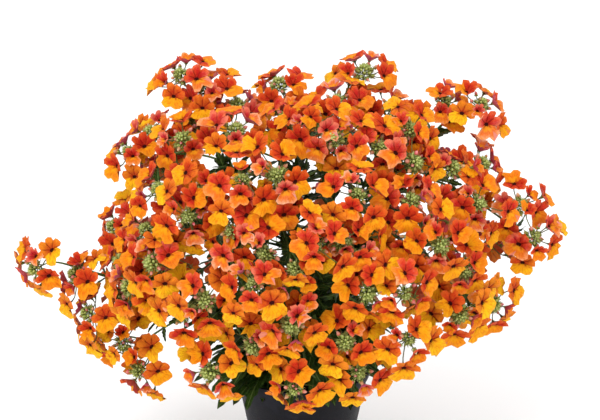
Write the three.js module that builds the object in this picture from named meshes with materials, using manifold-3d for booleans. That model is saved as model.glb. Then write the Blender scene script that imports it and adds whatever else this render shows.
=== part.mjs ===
// Potted nemesia: a tapered nursery pot of compost, leafy stems that fan out of it, and sprays of
// two-lipped blooms that stand round tufts of buds. Millimetres, +Z up. The origin is the centre of the
// pot's underside, +X is to the right in the front view and +Y points away from the viewer.
import * as THREE from "three";
import Module from "manifold-3d";

// Pot
const POT_HEIGHT = 114;
const POT_RIM_RADIUS = 64;
const POT_BASE_RADIUS = 39.5;
const POT_WALL = 1.5;
const POT_FLOOR = 2;
const POT_RIM_DEPTH = 9;
const POT_RIM_STEP = 1.6;
const POT_EDGE_ROUND = 0.8;
const POT_SIDES = 24;
const DRAIN_HOLES = 4;
const DRAIN_RADIUS = 4.5;
const DRAIN_RING_RADIUS = 26;
const DRAIN_SIDES = 6;

// Compost
const SOIL_TOP = 101;
const SOIL_CROWN = 3;
const SOIL_ROUGHNESS = 0.9;
const SEAT_GAP = 0.3;
const STEM_HOLE_DEPTH = 16;

// Stems, branches and peduncles
const STEM_RADIUS = 2;
const STEM_TIP_RADIUS = 1.3;
const STEM_SIDES = 4;
const STEM_STEP = 50;
const STEM_RING_RADIUS = 18;
const STEM_RING_SPREAD = 24;
const BRANCH_RADIUS = 1.15;
const BRANCH_STEPS = 3;
const PEDUNCLE_RADIUS = 0.95;
const PEDUNCLE_LENGTH = 44;
const PEDUNCLE_NODE = 3;
// What two stems keep between them, over their radii, and the step of the points that test it
const STEM_CLEARANCE = 1.8;
const ROUTE_STEP = 2;
const ROUTE_ATTEMPTS = 60;

// Leaf nodes, as shares of the stem and in millimetres
const FIRST_NODE = 0.14;
const LAST_NODE = 0.85;
const NODE_APART = 8;
const NODE_HEIGHT = 3.2;
const LEAF_PAIR_PITCH = 95;

// Leaves
const LEAF_LENGTH = 44;
const LEAF_WIDTH_SHARE = 0.32;
const LEAF_THICKNESS = 1.2;
const LEAF_RISE = 0.1;
const LEAF_DROOP = 0.3;
const LEAF_FOLD = 0.5;
// The rib's highest place, as a share of the length, the corners of the leaf's foot aside and above its
// middle, and the teeth of the edge as shares of the length and of the half width
const LEAF_RIB = 0.45;
const LEAF_FOOT = [
  [1.4, 0],
  [-1.2, 1.6],
  [-1.2, -1.6],
];
const LEAF_EDGE = [
  [0.38, 1],
  [0.52, 0.6],
  [0.68, 0.72],
];
// How far out a leaf may still touch its own stem
const LEAF_FREE_FROM = 5;
const LEAF_ATTEMPTS = 24;

// Bud tufts and blooms
const TUFT_LENGTH = 19;
const TUFT_RADIUS = 4.4;
const BLOOMS_OF_A_HEAD = 7;
const YOUNG_BLOOMS = 2;
const BLOOM_TURN = 137.5;
const BLOOM_APART = 18.5;
const SPREAD_ROUNDS = 14;
const STALK_RADIUS = 0.9;
// The share of its stalk within which a bloom may still touch its own tuft
const STALK_FREE_FROM = 0.4;
const STALK_TURNS = [30, 150, 270];
const THROAT_DEPTH = 3.4;
const THROAT_WALL = 2.2;
// One bloom seen from the front: the turn from its right side in degrees, the reach from the throat
// and the height over the throat's rim. The upper lobes with notches beside the middle ones, then the lip.
const BLOOM_OUTLINE = [
  [14, 13.4, -1.4],
  [42, 9.4, -0.6],
  [66, 13.8, -2.4],
  [114, 13.8, -2.4],
  [138, 9.4, -0.6],
  [166, 13.4, -1.4],
  [226, 16.6, 3],
  [314, 16.6, 3],
];
const BLOOM_ATTEMPTS = 60;

// Room that a bloom or leaf is tried with, and the overlap in cubic millimetres that counts as one
const TRIAL_MARGIN = 0.3;
const MARGINS = [TRIAL_MARGIN, -TRIAL_MARGIN];
const LEAST_OVERLAP = 1e-4;

// The mound that the tufts lie on
const MOUND_CENTRE = new THREE.Vector3(0, 0, 225);
const MOUND_RADII = new THREE.Vector3(185, 165, 160);
const MOUND_HOLLOW = 0.12;
// How heads lean up over their direction out of the mound, how far the front ones lean to the front, and
// how much their leans vary
const HEAD_LEAN = 0.3;
const FRONT_LEAN = 0.85;
const LEAN_SPREAD = 0.8;

// The front view, in which the front tufts are measured
const VIEW_RISE = 20;
const VIEW_DISTANCE = 1800;
const VIEW_MIDDLE = new THREE.Vector3(-2, 0, 266);

// Front sprays, by stem. Each tuft is given as seen in the front view: how far it lies to the right of
// the view's middle and above it, at the pot's distance.
const FRONT_STEMS = [
  [[[-243, -55], [-207, -56]], [[-196, -92], [-168, -76]], [[-166, -45], [-158, -68]]],
  [[[-172, -13], [-142, -16]], [[-136, -47]], [[-158, 56], [-130, 20]]],
  [[[-109, 126], [-87, 114]], [[-108, 66], [-137, 72]], [[-92, 14], [-102, -7]]],
  [[[-56, 100], [-57, 76]], [[-51, 30], [-64, -17]], [[-21, 118], [-13, 85]]],
  [[[33, 102], [13, 82]], [[58, 129], [30, 66]], [[-22, 33], [-26, 8]]],
  [[[85, 95], [102, 73]], [[74, 57], [106, 43]], [[53, 16], [103, 10]]],
  [[[166, 99], [133, 101]], [[168, 43], [140, 40]], [[200, 6], [213, -24]]],
  [[[161, 7], [154, -17]], [[150, -56], [128, -32]], [[177, -88], [146, -97]]],
  [
    [[105, -24]],
    [[62, -77], [96, -78]],
    [[42, -120], [54, -148]],
    [[100, -117]],
    [[51, -42], [40, -28]],
    [[14, -33]],
  ],
  [[[-106, -94], [-85, -83]], [[-160, -124], [-149, -148]], [[-84, -149], [-44, -126]]],
  [[[-9, -106]], [[-6, -165]], [[-33, -41], [-5, -57]], [[-43, -65]]],
];

// Back sprays, by stem: the turn of each from +X towards +Y and its lift over the mound's middle, then
// where its three tufts stand round that
const BACK_STEMS = [
  [[12, -10], [50, -14], [88, -9], [32, 34]],
  [[128, -13], [164, -13], [90, 38], [150, 35]],
];
const BACK_SPRAY_TUFTS = [
  [-11, -8],
  [12, -3],
  [1, 13],
];

// Gaps between the sprays that the front view looks into or through: the middle of each, as the tufts
// are given, and its radius. Blooms within the reach of one move aside.
const VIEW_GAPS = [
  [-16, -35, 13],
  [20, -64, 14],
  [18, -86, 11],
  [13, 36, 11],
  [-4, -17, 7],
  [-72, 41, 10],
  [145, 63, 10],
  [131, 27, 7],
  [173, -6, 7],
  [105, 108, 12],
  [150, -83, 6],
  [176, -53, 10],
  [-195, -28, 10],
];
const GAP_REACH = 9;
const GAP_PUSH = 0.5;

const UP = new THREE.Vector3(0, 0, 1);
const RIGHT = new THREE.Vector3(1, 0, 0);
const radians = THREE.MathUtils.degToRad;
const VIEW_AHEAD = new THREE.Vector3(0, Math.cos(radians(VIEW_RISE)), -Math.sin(radians(VIEW_RISE)));
const VIEW_UPWARD = new THREE.Vector3(0, Math.sin(radians(VIEW_RISE)), Math.cos(radians(VIEW_RISE)));
const VIEW_EYE = VIEW_MIDDLE.clone().addScaledVector(VIEW_AHEAD, -VIEW_DISTANCE);
const wasm = await Module();
wasm.setup();

// Vectors and draws

const along = (from, direction, distance) => from.clone().addScaledVector(direction, distance);

const mix = (a, aShare, b, bShare) => a.clone().multiplyScalar(aShare).addScaledVector(b, bShare).normalize();

// A repeatable draw between 0 and 1, by the rule s = 16807 s mod (2^31 - 1)
function seeded(seed) {
  const modulus = 2147483647;
  let state = (seed * 7919 + 12345) % modulus;
  const next = () => {
    state = (state * 16807) % modulus;
    return state / modulus;
  };
  next();
  next();
  return next;
}

// A point moved by up to half of reach along each axis
function shaken(point, draw, reach) {
  const x = reach * (draw() - 0.5);
  const y = reach * (draw() - 0.5);
  const z = reach * (draw() - 0.5);
  return new THREE.Vector3(point.x + x, point.y + y, point.z + z);
}

// Two directions square to a given one: the first level, the second leaning up
function acrossFrame(direction) {
  const side = new THREE.Vector3().crossVectors(UP, direction);
  if (side.length() < 0.05) side.copy(RIGHT);
  side.normalize();
  return [side, new THREE.Vector3().crossVectors(direction, side).normalize()];
}

// Points evenly round a circle, counted from its side direction towards its lift
function circle(middle, [side, lift], radius, count, turn) {
  return [...Array(count).keys()].map((k) => {
    const angle = radians(turn + (360 * k) / count);
    return along(along(middle, side, radius * Math.cos(angle)), lift, radius * Math.sin(angle));
  });
}

// Meshes: points, and triangles of their numbers, seen from outside against the clock

function solidOf({ points, triangles }) {
  const vertProperties = new Float32Array(points.flatMap((p) => [p.x, p.y, p.z]));
  const triVerts = new Uint32Array(triangles.flat());
  return new wasm.Manifold(new wasm.Mesh({ numProp: 3, vertProperties, triVerts }));
}

// The walls between two rings of points that are numbered the same way round
function walls(from, to) {
  return from.flatMap((corner, k) => {
    const next = (k + 1) % from.length;
    return [
      [corner, from[next], to[next]],
      [corner, to[next], to[k]],
    ];
  });
}

// The flat lid on a ring of points, seen against the clock
const lid = (ring) => ring.slice(1, -1).map((corner, k) => [ring[0], corner, ring[k + 2]]);

// A body of rings, each a list of points, with a lid at both ends
function ringBody(rings) {
  const points = rings.flat();
  const numbers = rings.map((ring, level) => ring.map((_, k) => level * ring.length + k));
  const triangles = numbers.slice(1).flatMap((ring, level) => walls(numbers[level], ring));
  triangles.push(...lid([...numbers[0]].reverse()), ...lid(numbers[numbers.length - 1]));
  return { points, triangles };
}

// A body turned about the Z axis, from its profile's [radius, height] points
function turnedBody(profile, sides) {
  const frame = [RIGHT, new THREE.Vector3(0, 1, 0)];
  const ring = ([radius, height]) => circle(UP.clone().setZ(height), frame, radius, sides, 0);
  return ringBody(profile.map(ring));
}

// A tapered rod along a path. Each ring keeps the turn of the last.
function rodBody(path, startRadius, endRadius, sides) {
  let side = null;
  const rings = path.map((point, index) => {
    const before = path[Math.max(index - 1, 0)];
    const after = path[Math.min(index + 1, path.length - 1)];
    const direction = after.clone().sub(before).normalize();
    if (side === null) side = acrossFrame(direction)[0];
    side = side.clone().addScaledVector(direction, -side.dot(direction)).normalize();
    const frame = [side, new THREE.Vector3().crossVectors(direction, side)];
    const radius = THREE.MathUtils.lerp(startRadius, endRadius, index / (path.length - 1));
    return circle(point, frame, radius, sides, 45);
  });
  return ringBody(rings);
}

// How far a second triangle is counted on so that walls between the two twist least
function leastTwist(from, to) {
  const length = (shift) => from.reduce((sum, point, k) => sum + point.distanceTo(to[(k + shift) % 3]), 0);
  return [0, 1, 2].reduce((best, shift) => (length(shift) < length(best) ? shift : best));
}

// The walls of a three-sided stalk from a face to a ring, both numbered the same way round
function stalkWalls(points, face, ring) {
  const at = (corner) => points[corner];
  const shift = leastTwist(face.map(at), ring.map(at));
  return walls(face, face.map((_, k) => ring[(k + shift) % 3]));
}

// The number of the face, of those given, that looks most towards a point
function faceTowards(points, faces, target) {
  const looks = faces.map((face) => {
    const [a, b, c] = face.map((corner) => points[corner]);
    const normal = b.clone().sub(a).cross(c.clone().sub(a)).normalize();
    const middle = a.clone().add(b).add(c).divideScalar(3);
    return normal.dot(target.clone().sub(middle).normalize());
  });
  return looks.indexOf(Math.max(...looks));
}

// Copies a ring from one point of a path to the next, turned with the path, and returns its new numbers
function carryRing(points, ring, from, to, heading, next) {
  const turn = new THREE.Quaternion().setFromUnitVectors(heading, next);
  const carried = (corner) => points[corner].clone().sub(from).applyQuaternion(turn).add(to);
  return ring.map((corner) => points.push(carried(corner)) - 1);
}

// Places of the tufts

// The point of the mound under a place in the front view, or the nearest one beside it
function pointInView(across, up, reach) {
  const sight = along(along(VIEW_MIDDLE, RIGHT, across), VIEW_UPWARD, up).sub(VIEW_EYE);
  const radii = MOUND_RADII.clone().multiplyScalar(reach);
  const from = VIEW_EYE.clone().sub(MOUND_CENTRE).divide(radii);
  const ray = sight.clone().divide(radii);
  const nearest = -from.dot(ray) / ray.lengthSq();
  const miss = along(from, ray, nearest).lengthSq();
  const step = miss < 1 ? Math.sqrt((1 - miss) / ray.lengthSq()) : 0;
  return along(VIEW_EYE, sight, nearest - step);
}

// The point of the mound at a turn from +X and a lift over the level, in degrees
function pointOfMound(turn, lift, reach) {
  const level = Math.cos(radians(lift));
  const out = [level * Math.cos(radians(turn)), level * Math.sin(radians(turn)), Math.sin(radians(lift))];
  return new THREE.Vector3(...out).multiply(MOUND_RADII).multiplyScalar(reach).add(MOUND_CENTRE);
}

// A head leans out of the mound, up, by the given share towards the front, and a little its own way
function headAt(tip, forward, draw) {
  const outward = tip.clone().sub(MOUND_CENTRE).divide(MOUND_RADII).divide(MOUND_RADII).normalize();
  const stray = () => LEAN_SPREAD * (draw() - 0.5);
  const lean = new THREE.Vector3(stray(), stray() - forward, stray() + HEAD_LEAN);
  return { tip, axis: mix(outward, 0.7, lean, 1), blooms: [] };
}

// Every stem with its sprays, and every spray with its heads
function plannedStems() {
  let number = 0;
  const plannedHead = (tipAt, forward) => {
    const draw = seeded(number++);
    return headAt(tipAt(1 - MOUND_HOLLOW * draw()), forward, draw);
  };
  const front = FRONT_STEMS.map((sprays) =>
    sprays.map((tufts) =>
      tufts.map(([across, up]) => plannedHead((reach) => pointInView(across, up, reach), FRONT_LEAN)),
    ),
  );
  const back = BACK_STEMS.map((sprays) =>
    sprays.map(([turn, lift]) =>
      BACK_SPRAY_TUFTS.map(([aside, above]) =>
        plannedHead((reach) => pointOfMound(turn + aside, lift + above, reach), 0),
      ),
    ),
  );
  return [...front, ...back].map((sprays, index) => ({
    number: index + 1,
    sprays: sprays.map((heads) => ({ heads })),
    leaves: [],
  }));
}

// Routes of the stems, branches and peduncles

const routes = [];

// Points at small steps along the straight lengths that a rod is built of
function routePoints(path) {
  return path.slice(1).flatMap((end, k) => {
    const line = new THREE.LineCurve3(path[k], end);
    return line.getPoints(Math.ceil(path[k].distanceTo(end) / ROUTE_STEP));
  });
}

function layRoute(path, radius, owner) {
  routes.push({ points: routePoints(path), radius, owner });
}

// Whether a rod along a path keeps clear of every laid route but those of its own
function routeIsClear(path, radius, isOwn) {
  const points = routePoints(path);
  return routes.every((route) => {
    if (isOwn(route.owner)) return true;
    const least = (radius + route.radius + STEM_CLEARANCE) ** 2;
    return route.points.every((a) => points.every((b) => a.distanceToSquared(b) > least));
  });
}

// Tries curves, ever looser, until the path along one is clear
function firstClear(pathOf, radius, isOwn, curveAt) {
  let curve = null;
  for (let attempt = 0; attempt < ROUTE_ATTEMPTS; attempt++) {
    curve = curveAt(attempt);
    if (routeIsClear(pathOf(curve), radius, isOwn)) break;
  }
  return curve;
}

// Where a spray starts: behind its heads, along their axes
function sprayFoot(heads) {
  const foot = new THREE.Vector3();
  for (const head of heads) foot.add(along(head.tip, head.axis, -PEDUNCLE_LENGTH));
  return foot.divideScalar(heads.length);
}

// The stems come out of the compost in a ring, each on the side that it leans to, low ones further out
function stemFoot(stem) {
  const middle = new THREE.Vector3();
  for (const spray of stem.sprays) middle.add(spray.foot);
  middle.divideScalar(stem.sprays.length);
  const turn = Math.atan2(middle.y, middle.x);
  const low = THREE.MathUtils.clamp((290 - middle.z) / 150, 0, 1);
  const radius = STEM_RING_RADIUS + STEM_RING_SPREAD * low;
  return new THREE.Vector3(radius * Math.cos(turn), radius * Math.sin(turn), SOIL_TOP + SOIL_CROWN);
}

// A stem rises out of the compost and arches to its furthest spray
function stemCurve(stem, draw, looseness) {
  const end = stem.leader.foot;
  const control = along(stem.foot, end.clone().sub(stem.foot).setZ(0), 0.26);
  control.z = stem.foot.z + Math.max(0.66 * (end.z - stem.foot.z), 36);
  return new THREE.QuadraticBezierCurve3(stem.foot, shaken(control, draw, looseness), end);
}

// A branch leaves the stem along it and bends towards its own spray
function branchCurve(stem, spray, draw, looseness) {
  const reach = spray.foot.distanceTo(stem.foot) / stem.leader.foot.distanceTo(stem.foot);
  spray.node = THREE.MathUtils.clamp(0.2 + 0.55 * reach + 0.006 * looseness * (draw() - 0.5), 0.25, 0.9);
  const start = stem.curve.getPoint(spray.node);
  const control = along(start, stem.curve.getTangent(spray.node), 0.42 * start.distanceTo(spray.foot));
  return new THREE.QuadraticBezierCurve3(start, shaken(control, draw, looseness), spray.foot);
}

// A peduncle runs on from the spray's foot, or out of the node just above it, to its tuft
function peduncleCurve(spray, head, draw, looseness) {
  const rise = SEAT_GAP + (head === spray.heads[0] ? 0 : PEDUNCLE_NODE / 2);
  const start = along(spray.foot, spray.heading, rise);
  const end = along(head.tip, head.axis, -TUFT_LENGTH);
  const bendLength = 0.36 * end.distanceTo(start);
  return new THREE.CubicBezierCurve3(
    start,
    shaken(along(start, spray.heading, bendLength), draw, looseness),
    shaken(along(end, head.axis, -bendLength), draw, looseness),
    end,
  );
}

// The path of a peduncle: its start, a node if it is the first head's, its bend and its tuft's foot
function pedunclePath(spray, head, curve) {
  const [start, bend, end] = curve.getPoints(2);
  if (head !== spray.heads[0]) return [start, bend, end];
  return [start, along(start, spray.heading, PEDUNCLE_NODE), bend, end];
}

// Lays the tufts, then the stems with their branches, then the peduncles, each clear of those before it
function layRoutes() {
  for (const stem of stems) {
    for (const spray of stem.sprays) {
      spray.foot = sprayFoot(spray.heads);
      for (const tuft of spray.heads) {
        layRoute([tuft.tip, along(tuft.tip, tuft.axis, -TUFT_LENGTH)], TUFT_RADIUS, { stem, spray, tuft });
      }
    }
  }
  for (const stem of stems) {
    stem.foot = stemFoot(stem);
    const distance = (spray) => spray.foot.distanceTo(stem.foot);
    stem.leader = stem.sprays.reduce((far, spray) => (distance(spray) > distance(far) ? spray : far));
    const draw = seeded(900 + stem.number);
    const ownTo = (spray) => (owner) => owner.stem === stem && (!owner.spray || owner.spray === spray);
    const stemPath = (curve) => curve.getPoints(Math.ceil(distance(stem.leader) / STEM_STEP));
    const branchPath = (curve) => curve.getPoints(BRANCH_STEPS);
    const rise = (attempt) => stemCurve(stem, draw, 2 * attempt);
    stem.curve = firstClear(stemPath, STEM_RADIUS, ownTo(stem.leader), rise);
    layRoute(stemPath(stem.curve), STEM_RADIUS, { stem });
    for (const spray of stem.sprays) {
      spray.curve = stem.curve;
      if (spray === stem.leader) continue;
      const leave = (attempt) => branchCurve(stem, spray, draw, 3 * attempt);
      spray.curve = firstClear(branchPath, BRANCH_RADIUS, ownTo(spray), leave);
      layRoute(branchPath(spray.curve), BRANCH_RADIUS, { stem });
    }
  }
  for (const stem of stems) {
    stem.sprays.forEach((spray, index) => {
      const draw = seeded(1300 + 10 * stem.number + index);
      spray.heading = spray.curve.getTangent(1);
      for (const head of spray.heads) {
        const isOwn = (owner) => {
          if (owner.tuft) return owner.tuft === head;
          return owner.stem === stem && (!owner.spray || owner.spray === spray);
        };
        const pathOf = (curve) => pedunclePath(spray, head, curve);
        const run = (attempt) => peduncleCurve(spray, head, draw, 2 * attempt);
        head.path = pathOf(firstClear(pathOf, PEDUNCLE_RADIUS, isOwn, run));
        layRoute(head.path, PEDUNCLE_RADIUS, { stem, spray });
      }
    });
  }
}

// Places of the blooms

// Blooms stand round the head's axis by the golden turn, the oldest lowest and furthest out
function nominalBlooms(head, number) {
  const draw = seeded(500 + number);
  const [side, lift] = acrossFrame(head.axis);
  const start = 360 * draw();
  return [...Array(BLOOMS_OF_A_HEAD).keys()].map((age) => {
    const turn = radians(start + BLOOM_TURN * age + 16 * (draw() - 0.5));
    const out = 13.5 + 2.3 * age + 2.4 * (draw() - 0.5);
    const drop = 3 + 1.7 * age + 3 * (draw() - 0.5);
    const size = (age < YOUNG_BLOOMS ? 0.62 + 0.16 * age : 0.94) + 0.12 * draw();
    const middle = along(head.tip, head.axis, -drop);
    const centre = along(along(middle, side, out * Math.cos(turn)), lift, out * Math.sin(turn));
    return { age, size, centre, head };
  });
}

// Moves a bloom that stands in a gap of the front view out of it, a share of the way
function leaveGaps(bloom) {
  const sight = bloom.centre.clone().sub(VIEW_EYE);
  const scale = VIEW_DISTANCE / sight.dot(VIEW_AHEAD);
  const across = sight.dot(RIGHT) * scale;
  const up = sight.dot(VIEW_UPWARD) * scale;
  for (const [gapAcross, gapUp, radius] of VIEW_GAPS) {
    const distance = Math.hypot(across - gapAcross, up - gapUp);
    const push = (GAP_PUSH * Math.max(radius + GAP_REACH - distance, 0)) / distance;
    bloom.centre.addScaledVector(RIGHT, push * (across - gapAcross));
    bloom.centre.addScaledVector(VIEW_UPWARD, push * (up - gapUp));
  }
}

// Blooms that stand too close move apart, a little at a time, and out of the gaps
function spreadBlooms(blooms) {
  for (let round = 0; round < SPREAD_ROUNDS; round++) {
    const moves = blooms.map(() => new THREE.Vector3());
    for (let i = 0; i < blooms.length; i++) {
      for (let j = i + 1; j < blooms.length; j++) {
        const apart = blooms[i].centre.clone().sub(blooms[j].centre);
        const wanted = (BLOOM_APART * (blooms[i].size + blooms[j].size)) / 2;
        const distance = apart.length();
        if (distance >= wanted) continue;
        apart.multiplyScalar((0.3 * (wanted - distance)) / distance);
        moves[i].add(apart);
        moves[j].sub(apart);
      }
    }
    blooms.forEach((bloom, index) => bloom.centre.add(moves[index]));
    blooms.forEach(leaveGaps);
  }
}

// A bloom faces out from its head's axis and along it, with its upper lobes towards the tuft
function faceBloom(bloom) {
  const axis = bloom.head.axis;
  const out = bloom.centre.clone().sub(bloom.head.tip);
  out.addScaledVector(axis, -out.dot(axis)).normalize();
  bloom.facing = mix(out, 0.54, axis, 0.84 - 0.03 * bloom.age);
  const upward = axis.clone().multiplyScalar(0.8).addScaledVector(UP, 0.3);
  bloom.side = new THREE.Vector3().crossVectors(upward, bloom.facing).normalize();
  bloom.up = new THREE.Vector3().crossVectors(bloom.facing, bloom.side).normalize();
}

// Blooms, tufts and sprays

// The points of one bloom: the ring where the stalk joins its back, its outline and its throat
function bloomPoints({ centre, side, up, facing, size }, grow) {
  const at = (turn, reach, height) => {
    const out = along(centre, side, size * reach * Math.cos(radians(turn)));
    return along(along(out, up, size * reach * Math.sin(radians(turn))), facing, size * height);
  };
  const backHeight = -THROAT_DEPTH - THROAT_WALL - grow;
  const ring = STALK_TURNS.map((turn) => at(turn, STALK_RADIUS + grow, backHeight));
  const outline = BLOOM_OUTLINE.map(([turn, reach, height]) => at(turn, reach + grow, height));
  return [...ring, ...outline, at(0, 0, grow - THROAT_DEPTH)];
}

// Adds a bloom, front and back, with a stalk that grows from a face. The bloom is thickest at its throat.
function growBloom(points, triangles, face, bloom, grow) {
  const first = points.length;
  points.push(...bloomPoints(bloom, grow));
  const ring = STALK_TURNS.map((_, k) => first + k);
  const outline = BLOOM_OUTLINE.map((_, k) => first + ring.length + k);
  const throat = points.length - 1;
  const nearestSide = BLOOM_OUTLINE.map(([turn]) => {
    const gaps = STALK_TURNS.map((other) => Math.abs(((turn - other + 540) % 360) - 180));
    return ring[gaps.indexOf(Math.min(...gaps))];
  });
  triangles.push(...stalkWalls(points, face, ring));
  outline.forEach((here, k) => {
    const next = (k + 1) % outline.length;
    triangles.push([here, outline[next], throat]);
    triangles.push([nearestSide[k], outline[next], here]);
    if (nearestSide[next] === nearestSide[k]) return;
    triangles.push([nearestSide[k], nearestSide[next], outline[next]]);
  });
}

// One bloom with the outer share of its stalk as a solid of its own, to try it against its neighbours
function loneBloom(bloom, fromShare, grow) {
  const tuft = bloom.head.tuft;
  const middle = along(bloom.centre, bloom.facing, -(THROAT_DEPTH + THROAT_WALL) * bloom.size);
  const points = tuft.faces[bloom.face].map((corner) => tuft.points[corner].clone().lerp(middle, fromShare));
  const triangles = [[0, 2, 1]];
  growBloom(points, triangles, [0, 1, 2], bloom, grow);
  return solidOf({ points, triangles });
}

// A tuft of buds: a spindle of four sides round the head's axis, which narrows to the peduncle's three.
// crown is its top, and faces are those that a stalk can grow from.
function tuftMesh(head) {
  const frame = acrossFrame(head.axis);
  const at = (drop) => along(head.tip, head.axis, -drop);
  const ring = (count, turn, radius, drop) => circle(at(drop), frame, radius, count, turn);
  const points = [
    head.tip.clone(),
    ...ring(4, 0, TUFT_RADIUS, 0.3 * TUFT_LENGTH),
    ...ring(4, 45, 0.8 * TUFT_RADIUS, 0.68 * TUFT_LENGTH),
    ...ring(3, 45, PEDUNCLE_RADIUS, TUFT_LENGTH),
  ];
  const crown = [];
  const faces = [];
  for (let k = 0; k < 4; k++) {
    const next = (k + 1) % 4;
    crown.push([0, 1 + k, 1 + next]);
    faces.push([1 + k, 5 + k, 1 + next]);
    faces.push([1 + next, 5 + k, 5 + next]);
  }
  faces.push([5, 9, 6], [6, 9, 10], [6, 10, 7], [7, 10, 11], [7, 11, 8], [8, 11, 5], [5, 11, 9]);
  return { points, crown, faces, foot: [9, 11, 10] };
}

// Where a bloom's stalk grows from: the free face of the tuft that looks most towards it
function stalkFace(bloom) {
  const { tuft, blooms } = bloom.head;
  const free = tuft.faces.filter((_, index) => !blooms.some((other) => other.face === index));
  return tuft.faces.indexOf(free[faceTowards(tuft.points, free, bloom.centre)]);
}

// Heads that share a peduncle as one closed mesh. The first head's peduncle runs down to the spray's foot,
// and those of the others end in faces on its sides.
function sprayBody(heads, footHeading) {
  const points = [];
  const triangles = [];
  let forkFaces = [];
  for (const head of heads) {
    const isMain = head === heads[0];
    const origin = points.length;
    const numbered = (face) => face.map((corner) => origin + corner);
    points.push(...head.tuft.points);
    const bare = head.tuft.faces.filter((_, index) => !head.blooms.some((bloom) => bloom.face === index));
    triangles.push(...[...head.tuft.crown, ...bare].map(numbered));
    for (const bloom of head.blooms) {
      growBloom(points, triangles, numbered(head.tuft.faces[bloom.face]), bloom, 0);
    }
    const path = [...head.path].reverse();
    let ring = numbered(head.tuft.foot);
    let heading = head.axis.clone().negate();
    for (let step = 1; step < path.length; step++) {
      const isLast = step === path.length - 1;
      if (isLast && !isMain) break;
      const onward = isLast ? footHeading.clone().negate() : path[step + 1].clone().sub(path[step - 1]);
      const next = onward.normalize();
      const below = carryRing(points, ring, path[step - 1], path[step], heading, next);
      forkFaces = walls(ring, below);
      triangles.push(...forkFaces);
      ring = below;
      heading = next;
    }
    if (isMain) {
      triangles.push(ring);
      head.forkFaces = forkFaces;
    } else {
      const sides = heads[0].forkFaces;
      const [face] = sides.splice(faceTowards(points, sides, head.path[1]), 1);
      triangles.splice(triangles.indexOf(face), 1);
      triangles.push(...stalkWalls(points, face, [...ring].reverse()));
    }
  }
  return { points, triangles };
}

// Leaves and stems

// The points and triangles of a lance-shaped leaf with a toothed edge, arched along its rib and thickest
// there. It starts from root, runs along direction and faces up along face. Its first three points are the
// foot that it grows from: its right side, then above and below on its left.
function leafMesh({ root, direction, face, length }, grow) {
  const side = new THREE.Vector3().crossVectors(direction, face).normalize();
  const normal = new THREE.Vector3().crossVectors(side, direction).normalize();
  const half = 0.5 * length * LEAF_WIDTH_SHARE + grow;
  const thick = LEAF_THICKNESS / 2 + grow;
  const at = (share, aside, above) => {
    const arch = length * (LEAF_RISE * share - LEAF_DROOP * share * share);
    return along(along(along(root, direction, share * length), side, aside), normal, arch + above);
  };
  const points = LEAF_FOOT.map(([aside, above]) => at(0, aside, above));
  const tip = points.push(at(1 + grow / length, 0, 0)) - 1;
  const top = points.push(at(LEAF_RIB, 0, thick)) - 1;
  const under = points.push(at(LEAF_RIB, 0, -thick)) - 1;
  const right = LEAF_EDGE.map(([share, out]) => points.push(at(share, half * out, LEAF_FOLD)) - 1);
  const left = LEAF_EDGE.map(([share, out]) => points.push(at(share, -half * out, LEAF_FOLD)) - 1);
  // The skin between the rib and one edge, from the foot to the tip
  const skin = (rib, rim, foot) => [
    [foot, rim[0], rib],
    [rib, rim[0], rim[1]],
    [rib, rim[1], rim[2]],
    [rib, rim[2], tip],
  ];
  const turned = (faces) => faces.map(([a, b, c]) => [a, c, b]);
  const triangles = [
    [2, 1, left[0]],
    [1, 0, right[0]],
    [2, right[0], 0],
    ...skin(top, right, 1),
    ...turned(skin(top, left, 1)),
    ...turned(skin(under, right, 2)),
    ...skin(under, left, 2),
  ];
  return { points, triangles };
}

function loneLeaf(leaf, grow) {
  const { points, triangles } = leafMesh(leaf, grow);
  return solidOf({ points, triangles: [...triangles, [0, 1, 2]] });
}

// Grows a leaf from a face of a mesh, with the face's corners in place of the leaf's foot
function growLeaf(points, triangles, face, leaf) {
  const mesh = leafMesh(leaf, 0);
  const foot = [0, 2, 1];
  const shift = leastTwist(face.map((corner) => points[corner]), foot.map((corner) => mesh.points[corner]));
  const numbers = mesh.points.map((_, index) => points.length + index - foot.length);
  face.forEach((corner, k) => {
    numbers[foot[(k + shift) % 3]] = corner;
  });
  points.push(...mesh.points.slice(foot.length));
  triangles.push(...mesh.triangles.map((triangle) => triangle.map((corner) => numbers[corner])));
}

// Grows a three-sided branch from a face of a mesh along a curve
function growBranch(points, triangles, face, curve) {
  const path = curve.getPoints(BRANCH_STEPS);
  const headingAt = (step) => curve.getTangent(step / BRANCH_STEPS);
  let heading = headingAt(1);
  const first = circle(path[1], acrossFrame(heading), BRANCH_RADIUS, 3, 0);
  let ring = first.map((point) => points.push(point) - 1);
  triangles.push(...stalkWalls(points, face, ring));
  for (let step = 2; step <= BRANCH_STEPS; step++) {
    const above = carryRing(points, ring, path[step - 1], path[step], heading, headingAt(step));
    triangles.push(...walls(ring, above));
    ring = above;
    heading = headingAt(step);
  }
  triangles.push(ring);
}

// The nodes of a stem, as shares of its curve: where its branches leave, and more where they are far apart
function stemNodes(stem) {
  const length = stem.curve.getLength();
  const gapTo = (share) => Math.min(...nodes.map((node) => Math.abs(node - share) * length));
  const nodes = [];
  for (const spray of stem.sprays) {
    if (spray !== stem.leader && gapTo(spray.node) > NODE_APART) nodes.push(spray.node);
  }
  for (let share = FIRST_NODE; share < LAST_NODE; share += LEAF_PAIR_PITCH / length) {
    if (gapTo(share) > 0.5 * LEAF_PAIR_PITCH) nodes.push(share);
  }
  return nodes.sort((a, b) => a - b);
}

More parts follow.
